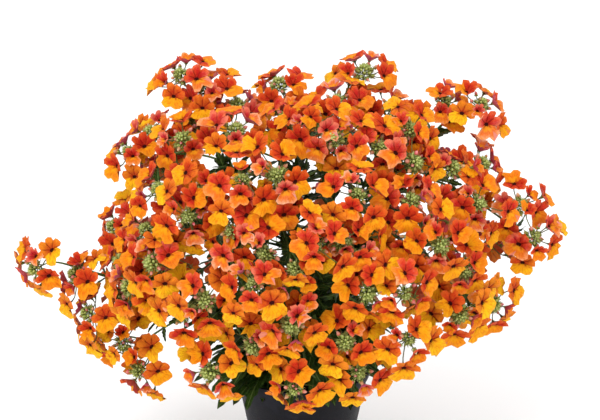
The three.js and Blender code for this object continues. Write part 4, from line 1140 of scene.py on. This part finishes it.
def petal_face():
    """The petals' face. With age the upper lobes go from crimson and scarlet to orange, and the lip from a
    salmon orange to gold. Young ones are flushed with salmon towards the rim. Round the throat the lobes
    are deep red, the bumps beside it are yellow, and veins run outwards. The throat itself is painted near
    black as shade, and painted shade darkens the creases between the upper lobes."""
    material, nodes, shader = finish_of("petal_face")
    aside, reach, lip, age, lot = nodes.grown()
    patches = nodes.group(mottling, Scale=260.0, Grain=0.9)
    clouds = nodes.group(mottling, Scale=55.0, Grain=0.3)
    aged = nodes.varied(nodes.varied(age, lot, 0.55), clouds, 0.25)
    line = nodes.group(veins, Across=aside, Along=reach, Count=4.0, Wander=0.4, Width=0.16)
    rim = nodes.between(reach, 0.6, 1.0)
    young = nodes.between(aged, 0.28, 0.0)
    blotches = nodes.between(patches, 0.45, 0.0)
    place = nodes.sum("MULTIPLY_ADD", patches, 0.2, reach)
    flush = nodes.sum("MULTIPLY", nodes.between(place, 0.5, 1.05), young)
    edge = nodes.sum("MULTIPLY", nodes.between(place, 0.75, 1.15), young)
    heart = nodes.sum("MULTIPLY", nodes.between(reach, 0.85, 0.1), nodes.between(aside, 0.0, 0.8, 0.75, 1.0))
    # Painted shade: the edges of the upper lobes darken towards the throat, as shade falls in the creases
    # between them
    painted_crease_shade = nodes.sum("MULTIPLY", nodes.between(aside, 0.7, 1.0), nodes.between(reach, 1.0, 0.6))
    palate = nodes.between(nodes.sum("MULTIPLY_ADD", patches, 0.1, reach), 0.6, 0.4)
    spots = nodes.sum("MULTIPLY", nodes.between(reach, 0.5, 0.25), nodes.between(aside, 0.35, 0.8))
    upper_ages = [(0.0, "E02C4A"), (0.2, "DC1E24"), (0.42, "CC120C"), (0.66, "D84208"), (1.0, "F29416")]
    upper_washes = [
        (rim, 0.38, "FA8A34"),
        (flush, 0.65, "F89478"),
        (heart, 0.9, "A81014"),
        (line, 0.5, "981408"),
        (patches, 0.26, "F4762A"),
        (blotches, 0.3, "B01E08"),
        (painted_crease_shade, 0.85, "8E1008"),
    ]
    lower_ages = [(0.0, "EC7838"), (0.18, "EE7A1C"), (0.4, "F2860A"), (0.66, "F8A008"), (1.0, "FEC416")]
    lower_washes = [
        (blotches, 0.55, "DC5804"),
        (line, 0.35, "C84A04"),
        (rim, 0.2, "FFBC40"),
        (edge, 0.6, "FCC4A8"),
        (palate, 0.6, "FFB018"),
        (spots, 0.8, "A8200A"),
    ]
    upper = nodes.washed(nodes.ramp(aged, upper_ages), upper_washes)
    lower = nodes.washed(nodes.ramp(aged, lower_ages), lower_washes)
    # Painted shade: the throat's opening and the cap that closes it go near black, for the shade inside the
    # throat
    throat = nodes.between(nodes.sum("MULTIPLY_ADD", patches, 0.04, reach), 0.18, 0.05)
    colour = nodes.blend(nodes.between(lip, 0.35, 0.65), upper, lower)
    colour = nodes.blend(throat, colour, tint("38080A"))
    height = nodes.sum("MULTIPLY_ADD", patches, 0.5, nodes.sum("MULTIPLY", line, -0.6))
    settle(nodes, shader, colour, height, 0.6, 0.0008, patches, (0.5, 0.66), 0.1)
    return material


def petal_back():
    """The petals' back: duller and pinker than their face, with plain red veins."""
    material, nodes, shader = finish_of("petal_back")
    aside, reach, lip, age, lot = nodes.grown()
    patches = nodes.group(mottling, Scale=90.0, Grain=0.5)
    aged = nodes.varied(age, lot, 0.5)
    upper = nodes.ramp(aged, [(0.0, "DC5C80"), (0.3, "CC3458"), (0.6, "C83C30"), (1.0, "C85A1E")])
    lower = nodes.ramp(aged, [(0.0, "E08C88"), (0.4, "DC7444"), (1.0, "E48C1C")])
    colour = nodes.blend(nodes.between(lip, 0.35, 0.65), upper, lower)
    line = nodes.group(veins, Across=aside, Along=reach, Count=3.0, Wander=0.3, Width=0.16)
    near = nodes.sum("MULTIPLY", line, nodes.between(reach, 1.0, 0.5))
    colour = nodes.washed(colour, [(near, 0.6, "9E2416"), (patches, 0.2, "E0A888")])
    settle(nodes, shader, colour, line, 0.3, 0.0003, patches, (0.55, 0.7), 0.1)
    return material


def stalk_skin():
    """Stems and stalks: mid green in patches, and dull red where the fourth value asks for it."""
    material, nodes, shader = finish_of("stalk_skin")
    _, _, _, redness, lot = nodes.grown()
    patches = nodes.group(mottling, Scale=45.0, Grain=0.4)
    green = nodes.ramp(patches, [(0.0, "36521C"), (0.5, "4C702E"), (1.0, "6C9246")])
    red = nodes.sum("MULTIPLY", redness, nodes.between(patches, 0.1, 0.9, 0.4, 1.0))
    colour = nodes.washed(green, [(red, 1.0, "7A3A28"), (lot, 0.2, "86A85C")])
    settle(nodes, shader, colour, patches, 0.35, 0.0003, patches, (0.45, 0.6), 0.15)
    return material


def bud_skin():
    """Buds and sepals: fresh green, darker at the foot and paler at the point, some flushed with pink."""
    material, nodes, shader = finish_of("bud_skin")
    along, _, _, pinkness, lot = nodes.grown()
    patches = nodes.group(mottling, Scale=160.0, Grain=0.5)
    green = nodes.ramp(along, [(0.0, "6C7E2E"), (0.45, "A6B850"), (1.0, "D2DC92")])
    green = nodes.washed(green, [(lot, 0.45, "827C36")])
    pink = nodes.ramp(along, [(0.0, "8A7A40"), (0.35, "D84458"), (1.0, "F49AA0")])
    colour = nodes.washed(nodes.blend(pinkness, green, pink), [(patches, 0.25, "A4AC58")])
    settle(nodes, shader, colour, patches, 0.4, 0.0002, patches, (0.5, 0.65), 0.1)
    return material


def leaf_skin():
    """Leaves: dark green blades with a pale rib, side veins that slant towards the tip, and mottling."""
    material, nodes, shader = finish_of("leaf_skin")
    along, across, _, _, lot = nodes.grown()
    patches = nodes.group(mottling, Scale=70.0, Grain=0.5)
    aside = nodes.sum("ABSOLUTE", nodes.sum("SUBTRACT", across, 0.5))
    rib = nodes.between(aside, 0.07, 0.02)
    line = nodes.group(veins, Across=along, Along=aside, Count=9.0, Slant=-5.0, Width=0.14, Wander=0.12)
    green = nodes.ramp(patches, [(0.0, "18280A"), (0.5, "2A4212"), (1.0, "425C1E")])
    colour = nodes.washed(green, [(lot, 0.45, "466622"), (line, 0.35, "607C38"), (rib, 0.6, "849C58")])
    height = nodes.sum("MULTIPLY_ADD", patches, 0.5, nodes.sum("MULTIPLY", line, -0.8))
    settle(nodes, shader, colour, height, 0.5, 0.0004, patches, (0.42, 0.58), 0.18)
    return material


def pot_plastic():
    """Moulded charcoal plastic: satin, with a fine grain, faint scuffs and a breath of dust."""
    material, nodes, shader = finish_of("pot_plastic")
    patches = nodes.group(mottling, Scale=18.0, Grain=0.3)
    grain = nodes.group(mottling, Scale=400.0, Grain=0.6)
    colour = nodes.ramp(patches, [(0.0, "0E0E12"), (0.6, "14141A"), (1.0, "1E1E26")])
    colour = nodes.washed(colour, [(grain, 0.08, "3A3A40")])
    settle(nodes, shader, colour, grain, 0.2, 0.0002, patches, (0.42, 0.58), 0.12)
    return material


def compost_crumb():
    """Damp peat: near black brown with paler fibres and crumbs."""
    material, nodes, shader = finish_of("compost_crumb")
    patches = nodes.group(mottling, Scale=120.0, Grain=0.8)
    coarse = nodes.group(mottling, Scale=30.0, Grain=0.4)
    colour = nodes.ramp(patches, [(0.0, "120C08"), (0.5, "2A1C12"), (0.85, "4A3422"), (1.0, "6A4E34")])
    colour = nodes.washed(colour, [(coarse, 0.4, "1C120C")])
    settle(nodes, shader, colour, patches, 0.8, 0.001, coarse, (0.75, 0.95))
    return material


def perlite_grain():
    """Expanded perlite: chalky off-white grains with small pits."""
    material, nodes, shader = finish_of("perlite_grain")
    patches = nodes.group(mottling, Scale=300.0, Grain=0.6)
    colour = nodes.ramp(patches, [(0.0, "B8B2A4"), (0.5, "DCD8CC"), (1.0, "F0EEE6")])
    settle(nodes, shader, colour, patches, 0.6, 0.0004, patches, (0.8, 0.95))
    return material


# The plant

PETALS = [petal_face(), petal_back()]
GREENS = [stalk_skin(), bud_skin(), leaf_skin()]
# How strongly a bloom's upright direction is drawn towards the vertical
RIGHTING = 1.3
PEDUNCLE_RADII = (1.1, 0.55)
BRANCH_RADII = (BRANCH_RADIUS, PEDUNCLE_RADIUS)
# Of the buds past the first third of a tuft, this share is pink, this strongly
PINK_BUDS = 0.16
PINK_FROM = 0.35
PINKNESS = 0.9
# The bracts' place on a peduncle, as a share of it, and their length in mm
BRACT_PLACE = 0.12
BRACT_LENGTH = 15
SMALL_LEAF_ROWS = 9
LARGE_LEAF_ROWS = 13
# Small leaves: where their pairs start, as a share of the curve, their distance and their length in mm
STEM_LEAVES = (0.03, 11, 42)
BRANCH_LEAVES = (0.1, 23, 23)
LAST_LEAVES = 0.95
# The collar of leaves low on a stem, over the pot's rim: their places along it, their length in mm and the
# furthest turn from straight out of the pot in degrees
COLLAR_PLACES = [0.07, 0.1, 0.14, 0.18, 0.22, 0.26]
COLLAR_LENGTH = 54
COLLAR_DROOP = 0.45
COLLAR_TURN = 70
# Long leaves that hang over the rim, by stem: their turn from +X in degrees and their length in mm
HANGING = {1: [200, 52], 8: [320, 50], 9: [285, 52], 10: [232, 58], 11: [262, 54]}
HANGING_DROOP = 0.72
HANGING_RISE = 0.45
STEM_SEED = 700


def righted(bloom):
    """The bloom turned about its facing axis so that its lip hangs lower, the more the steeper it stands."""
    up = bloom["up"] + RIGHTING * UP
    up = unit(up - bloom["facing"] * (up @ bloom["facing"]))
    return {**bloom, "up": up, "side": np.cross(up, bloom["facing"])}


def blooms_of(spray, node):
    """A spray's blooms, righted: the older ones where the solids hold them, each with the age of the nearest
    planned one of its own, and the young ones as planned."""
    own = [bloom for bloom in blooms if any(bloom["head"] is head for head in spray["heads"])]
    kept = [bloom for bloom in own if bloom["age"] < YOUNG_BLOOMS]
    places = np.array([bloom["centre"] for bloom in own])
    for found in fitted_blooms(node):
        order = np.argsort(np.linalg.norm(places - found["centre"], axis=1))
        near = next(own[k] for k in order if own[k]["age"] >= YOUNG_BLOOMS)
        kept.append({**found, "head": near["head"], "age": near["age"]})
    return [righted(bloom) for bloom in kept]


def make_spray(number, spray):
    """The petals of a spray, and its green parts: peduncles, tufts of buds, stalks, calyxes and bracts."""
    random = np.random.default_rng(number)
    node = f"flower_spray_{number:02d}"
    flowers = blooms_of(spray, node)
    petals = Patches()
    add_blooms(petals, flowers, random)
    petals.make(f"spray_{number:02d}_blooms", PETALS, [node], rims=True)
    greens = Patches()
    bracts = []
    for head in spray["heads"]:
        path = np.concatenate([even(head["curve"], 12), [head["tip"] - head["axis"] * 4]])
        tube(greens, path, np.linspace(*PEDUNCLE_RADII, len(path)), 0.12, 6, random.random())
        frames = tuft_frames(head, random)
        lots = random.random(BUDS_OF_A_TUFT)
        pinks = random.random(BUDS_OF_A_TUFT) < PINK_BUDS
        pinks = pinks * (np.linspace(0, 1, BUDS_OF_A_TUFT) > PINK_FROM) * PINKNESS
        add_buds(greens, frames, lots, pinks)
        add_opening_buds(greens, head, random)
        add_sepals(greens, frames, lots, TUFT_SEPALS)
        turn = 2 * math.pi * random.random()
        bracts += leaf_pair(head["curve"], BRACT_PLACE, turn, BRACT_LENGTH, random)
    add_leaves(greens, bracts, random, SMALL_LEAF_ROWS, SLIM_SECTION)
    lots = random.random(len(flowers))
    for flower, lot in zip(flowers, lots):
        add_stalk(greens, flower, lot)
    add_sepals(greens, flowers, lots, CALYX_SEPALS)
    greens.make(f"spray_{number:02d}_greens", GREENS)


def collar_leaves(stem, random):
    """Leaves low on a stem that spread out over the pot's rim, level at the root, and on some stems a long
    one that hangs over it."""
    outward = unit(stem["foot"] * [1, 1, 0])
    aside = np.cross(UP, outward)
    found = []

    def spread(share, direction, length, droop):
        # Adds a leaf at a share of the stem, with its upper face as level as its direction lets it
        normal = unit(UP - direction * (UP @ direction))
        found.append(leaf_at(bezier(stem["curve"], share), direction, normal, length, droop))

    for share in COLLAR_PLACES:
        turn = math.radians(COLLAR_TURN * random.uniform(-1, 1))
        direction = outward * math.cos(turn) + aside * math.sin(turn)
        direction = unit(direction + UP * random.uniform(-0.05, 0.2))
        spread(share, direction, COLLAR_LENGTH * random.uniform(0.8, 1.1), COLLAR_DROOP)
    if stem["number"] in HANGING:
        turn, length = HANGING[stem["number"]]
        level = np.array([math.cos(math.radians(turn)), math.sin(math.radians(turn)), 0])
        spread(COLLAR_PLACES[1], unit(level + UP * HANGING_RISE), length, HANGING_DROOP)
    return found


def make_stem(stem):
    """A leafy stem: the stem itself, its branches, its large leaves and the pairs of small ones. A pair
    stands a quarter turn and up to 25 degrees more from the last, and the leaves shorten along the curve."""
    random = np.random.default_rng(STEM_SEED + stem["number"])
    name = f"leafy_stem_{stem['number']:02d}"
    path = np.concatenate([[stem["foot"] - UP * STEM_HOLE_DEPTH], even(stem["curve"], 24)])
    greens = Patches()
    tube(greens, path, np.linspace(STEM_RADIUS, STEM_TIP_RADIUS, len(path)), 0.1, lot=random.random())
    runs = [(stem["curve"], *STEM_LEAVES)]
    for spray in stem["sprays"]:
        if spray is not stem["leader"]:
            tube(greens, even(spray["curve"], 14), np.linspace(*BRANCH_RADII, 15), 0.1, 6)
            runs.append((spray["curve"], *BRANCH_LEAVES))
    pairs = []
    for curve, first, apart, length in runs:
        reach = np.linalg.norm(np.diff(even(curve, 12), axis=0), axis=1).sum()
        count = max(int(reach * (LAST_LEAVES - first) / apart), 1)
        for step in range(count):
            share = first + (LAST_LEAVES - first) * (step + 0.5) / count
            turn = math.radians(90 * step + 25 * random.random())
            pairs += leaf_pair(curve, share, turn, length * (1 - 0.4 * share), random)
    add_leaves(greens, pairs, random, SMALL_LEAF_ROWS, SLIM_SECTION)
    large = fitted_leaves(name) + collar_leaves(stem, random)
    add_leaves(greens, large, random, LARGE_LEAF_ROWS, FULL_SECTION)
    greens.make(f"stem_{stem['number']:02d}_leafage", GREENS, [name])


for number, spray in enumerate(sprays, 1):
    make_spray(number, spray)
for stem in stems:
    make_stem(stem)


# Pot and compost

POT_HEIGHT = 114
POT_RIM_RADIUS = 64
POT_BASE_RADIUS = 39.5
POT_WALL = 1.5
POT_FLOOR = 2
POT_RIM_DEPTH = 9
POT_RIM_STEP = 1.6
POT_EDGE_ROUND = 0.8
POT_COLUMNS = 96
POT_FOOT_WIDTH = 0.85
POT_MIDDLE = 40
DRAIN_HOLES = 4
DRAIN_RADIUS = 4.5
DRAIN_RING_RADIUS = 26
SOIL_COLUMNS = 72
SOIL_RINGS = 30
SOIL_ROUGHNESS = 0.35
PERLITE_GRAINS = 150
PERLITE_REACH = 54


def pot_outside(height):
    """The pot's outer radius at a height, under its rim."""
    return POT_BASE_RADIUS + (POT_RIM_RADIUS - POT_RIM_STEP - POT_BASE_RADIUS) / POT_HEIGHT * height


def make_pot():
    """The pot: a tapered shell with a stepped rim, whose edges are arcs, and holes cut through its floor."""
    arc = np.radians([-90, -60, -30, 0])
    edge = POT_EDGE_ROUND
    foot = [[POT_BASE_RADIUS - edge + edge * math.cos(a), edge + edge * math.sin(a)] for a in arc]
    rim_foot = POT_HEIGHT - POT_RIM_DEPTH
    under = pot_outside(rim_foot)
    rim_radius = POT_RIM_RADIUS - edge
    rim = [[rim_radius + edge * math.cos(a), POT_HEIGHT - edge + edge * math.sin(a)] for a in -arc[::-1]]
    inside_top = pot_outside(POT_HEIGHT) - POT_WALL
    profile = (
        [[0, 0], [POT_BASE_RADIUS * POT_FOOT_WIDTH, 0]]
        + foot
        + [[pot_outside(POT_MIDDLE), POT_MIDDLE], [under, rim_foot], [under + POT_RIM_STEP, rim_foot + 0.8]]
        + rim
        + [[inside_top + 0.5, POT_HEIGHT - 0.1], [inside_top, POT_HEIGHT - 0.7]]
        + [[pot_outside(POT_FLOOR) - POT_WALL, POT_FLOOR], [0, POT_FLOOR]]
    )
    shell = Patches()
    shell.add(turned(profile, POT_COLUMNS), closed_faces(1, len(profile) - 2, POT_COLUMNS))
    pot = shell.make("nursery_pot", [pot_plastic()], ["pot"])
    drills = Patches()
    for hole in range(DRAIN_HOLES):
        turn = math.radians(45 + 360 / DRAIN_HOLES * hole)
        middle = DRAIN_RING_RADIUS * np.array([math.cos(turn), math.sin(turn), 0])
        tube(drills, [middle - 2 * UP, middle + (POT_FLOOR + 2) * UP], DRAIN_RADIUS, sides=24)
    drill = drills.make("drain_drill", [])
    cut = pot.modifiers.new("drain_holes", "BOOLEAN")
    cut.operation = "DIFFERENCE"
    cut.object = drill
    applied = bpy.data.meshes.new_from_object(pot.evaluated_get(bpy.context.evaluated_depsgraph_get()))
    pot.modifiers.clear()
    pot.data = applied
    bpy.data.objects.remove(drill)
    pot.data.set_sharp_from_angle(angle=math.radians(35))


def soil_height(x, y):
    """The compost's top: a low crown 3 (1 - r^2 / R^2) with lumps and crumbs from crossed waves."""
    lumps = np.sin(0.31 * x + 0.9 * np.sin(0.17 * y)) * np.sin(0.27 * y + 1.1 * np.sin(0.21 * x))
    crumbs = np.sin(1.3 * x + 2 * np.sin(0.7 * y)) * np.sin(1.1 * y + 2 * np.sin(0.9 * x))
    radius = pot_outside(SOIL_TOP) - POT_WALL
    return SOIL_TOP + SOIL_CROWN * (1 - (x**2 + y**2) / radius**2) + 0.8 * lumps + 0.45 * crumbs


def make_compost():
    """The compost: a rough top over the plain cone that fills the pot, and grains of perlite strewn on it."""
    random = np.random.default_rng(5)
    edge = pot_outside(SOIL_TOP) - POT_WALL - SEAT_GAP
    foot = POT_FLOOR + SEAT_GAP
    profile = [[0, foot], [pot_outside(POT_FLOOR) - POT_WALL - SEAT_GAP, foot]]
    profile += [[edge * (1 - step / SOIL_RINGS), SOIL_TOP] for step in range(SOIL_RINGS)]
    profile += [[0, SOIL_TOP]]
    corners = turned(profile, SOIL_COLUMNS)
    top = corners[:, 2] == SOIL_TOP
    rough = SOIL_ROUGHNESS * random.normal(size=top.sum())
    corners[top, 2] = soil_height(corners[top, 0], corners[top, 1]) + rough
    crumb = Patches()
    crumb.add(corners, closed_faces(1, len(profile) - 2, SOIL_COLUMNS))
    crumb.make("compost", [compost_crumb()], ["soil"])
    grains = Patches()
    turns = random.random(PERLITE_GRAINS) * 2 * math.pi
    reaches = PERLITE_REACH * np.sqrt(random.random(PERLITE_GRAINS))
    for turn, reach in zip(turns, reaches):
        x, y = reach * math.cos(turn), reach * math.sin(turn)
        size = 0.6 + 0.8 * random.random()
        heading = unit(random.normal(size=3))
        middle = np.array([x, y, soil_height(x, y) + 0.2])
        path = middle + heading * size * np.array([-1, -0.5, 0.5, 1])[:, None]
        tube(grains, path, size * np.array([0.35, 0.95, 0.9, 0.3]), sides=5)
    grains.make("perlite", [perlite_grain()])


make_pot()
make_compost()


# Camera, light and floor

LENS = 120
SENSOR = 36
# Lamps: their place and size in metres and their power in watts
LAMPS = {
    "key": [(-0.8, -1.6, 2.2), 1.2, 30],
    "fill": [(1.8, -1.2, 1.2), 1.6, 8],
    "back": [(0.3, 2.0, 1.8), 1.6, 12],
}
LAMP_AIM = Vector((0, 0, 0.25))
SURROUND = 0.95
FLOOR_HALF = 8


def set_camera():
    """The photograph's view: from the front and a little above."""
    camera = linked("camera", bpy.data.cameras.new("camera"))
    camera.data.lens = LENS
    camera.data.sensor_width = SENSOR
    camera.data.clip_end = 20
    camera.location = VIEW_EYE * MM
    camera.rotation_euler = (math.pi / 2 - math.radians(VIEW_RISE), 0, 0)
    bpy.context.scene.camera = camera


def set_light():
    """Soft square lamps that point at the plant, and an even white surround."""
    for name, (place, size, power) in LAMPS.items():
        lamp = bpy.data.lights.new(name, "AREA")
        lamp.size = size
        lamp.energy = power
        light = linked(name, lamp)
        light.location = place
        light.rotation_euler = (LAMP_AIM - Vector(place)).to_track_quat("-Z", "Y").to_euler()
    world = bpy.data.worlds.new("studio")
    world.use_nodes = True
    world.node_tree.nodes["Background"].inputs["Color"].default_value = (1, 1, 1, 1)
    world.node_tree.nodes["Background"].inputs["Strength"].default_value = SURROUND
    bpy.context.scene.world = world
    bpy.context.scene.view_settings.view_transform = "Standard"


def make_floor():
    """A wide pale floor, with a faint unevenness."""
    half = FLOOR_HALF
    mesh = bpy.data.meshes.new("floor")
    mesh.from_pydata([(-half, -half, 0), (half, -half, 0), (half, half, 0), (-half, half, 0)], [], [range(4)])
    material, nodes, shader = finish_of("floor_paper")
    patches = nodes.group(mottling, Scale=2.0, Grain=0.1)
    nodes.tree.links.new(nodes.ramp(patches, [(0.0, "FBFBFB"), (1.0, "FEFEFE")]), shader["Base Color"])
    shader["Roughness"].default_value = 0.9
    mesh.materials.append(material)
    linked("floor", mesh)


set_camera()
make_floor()
set_light()

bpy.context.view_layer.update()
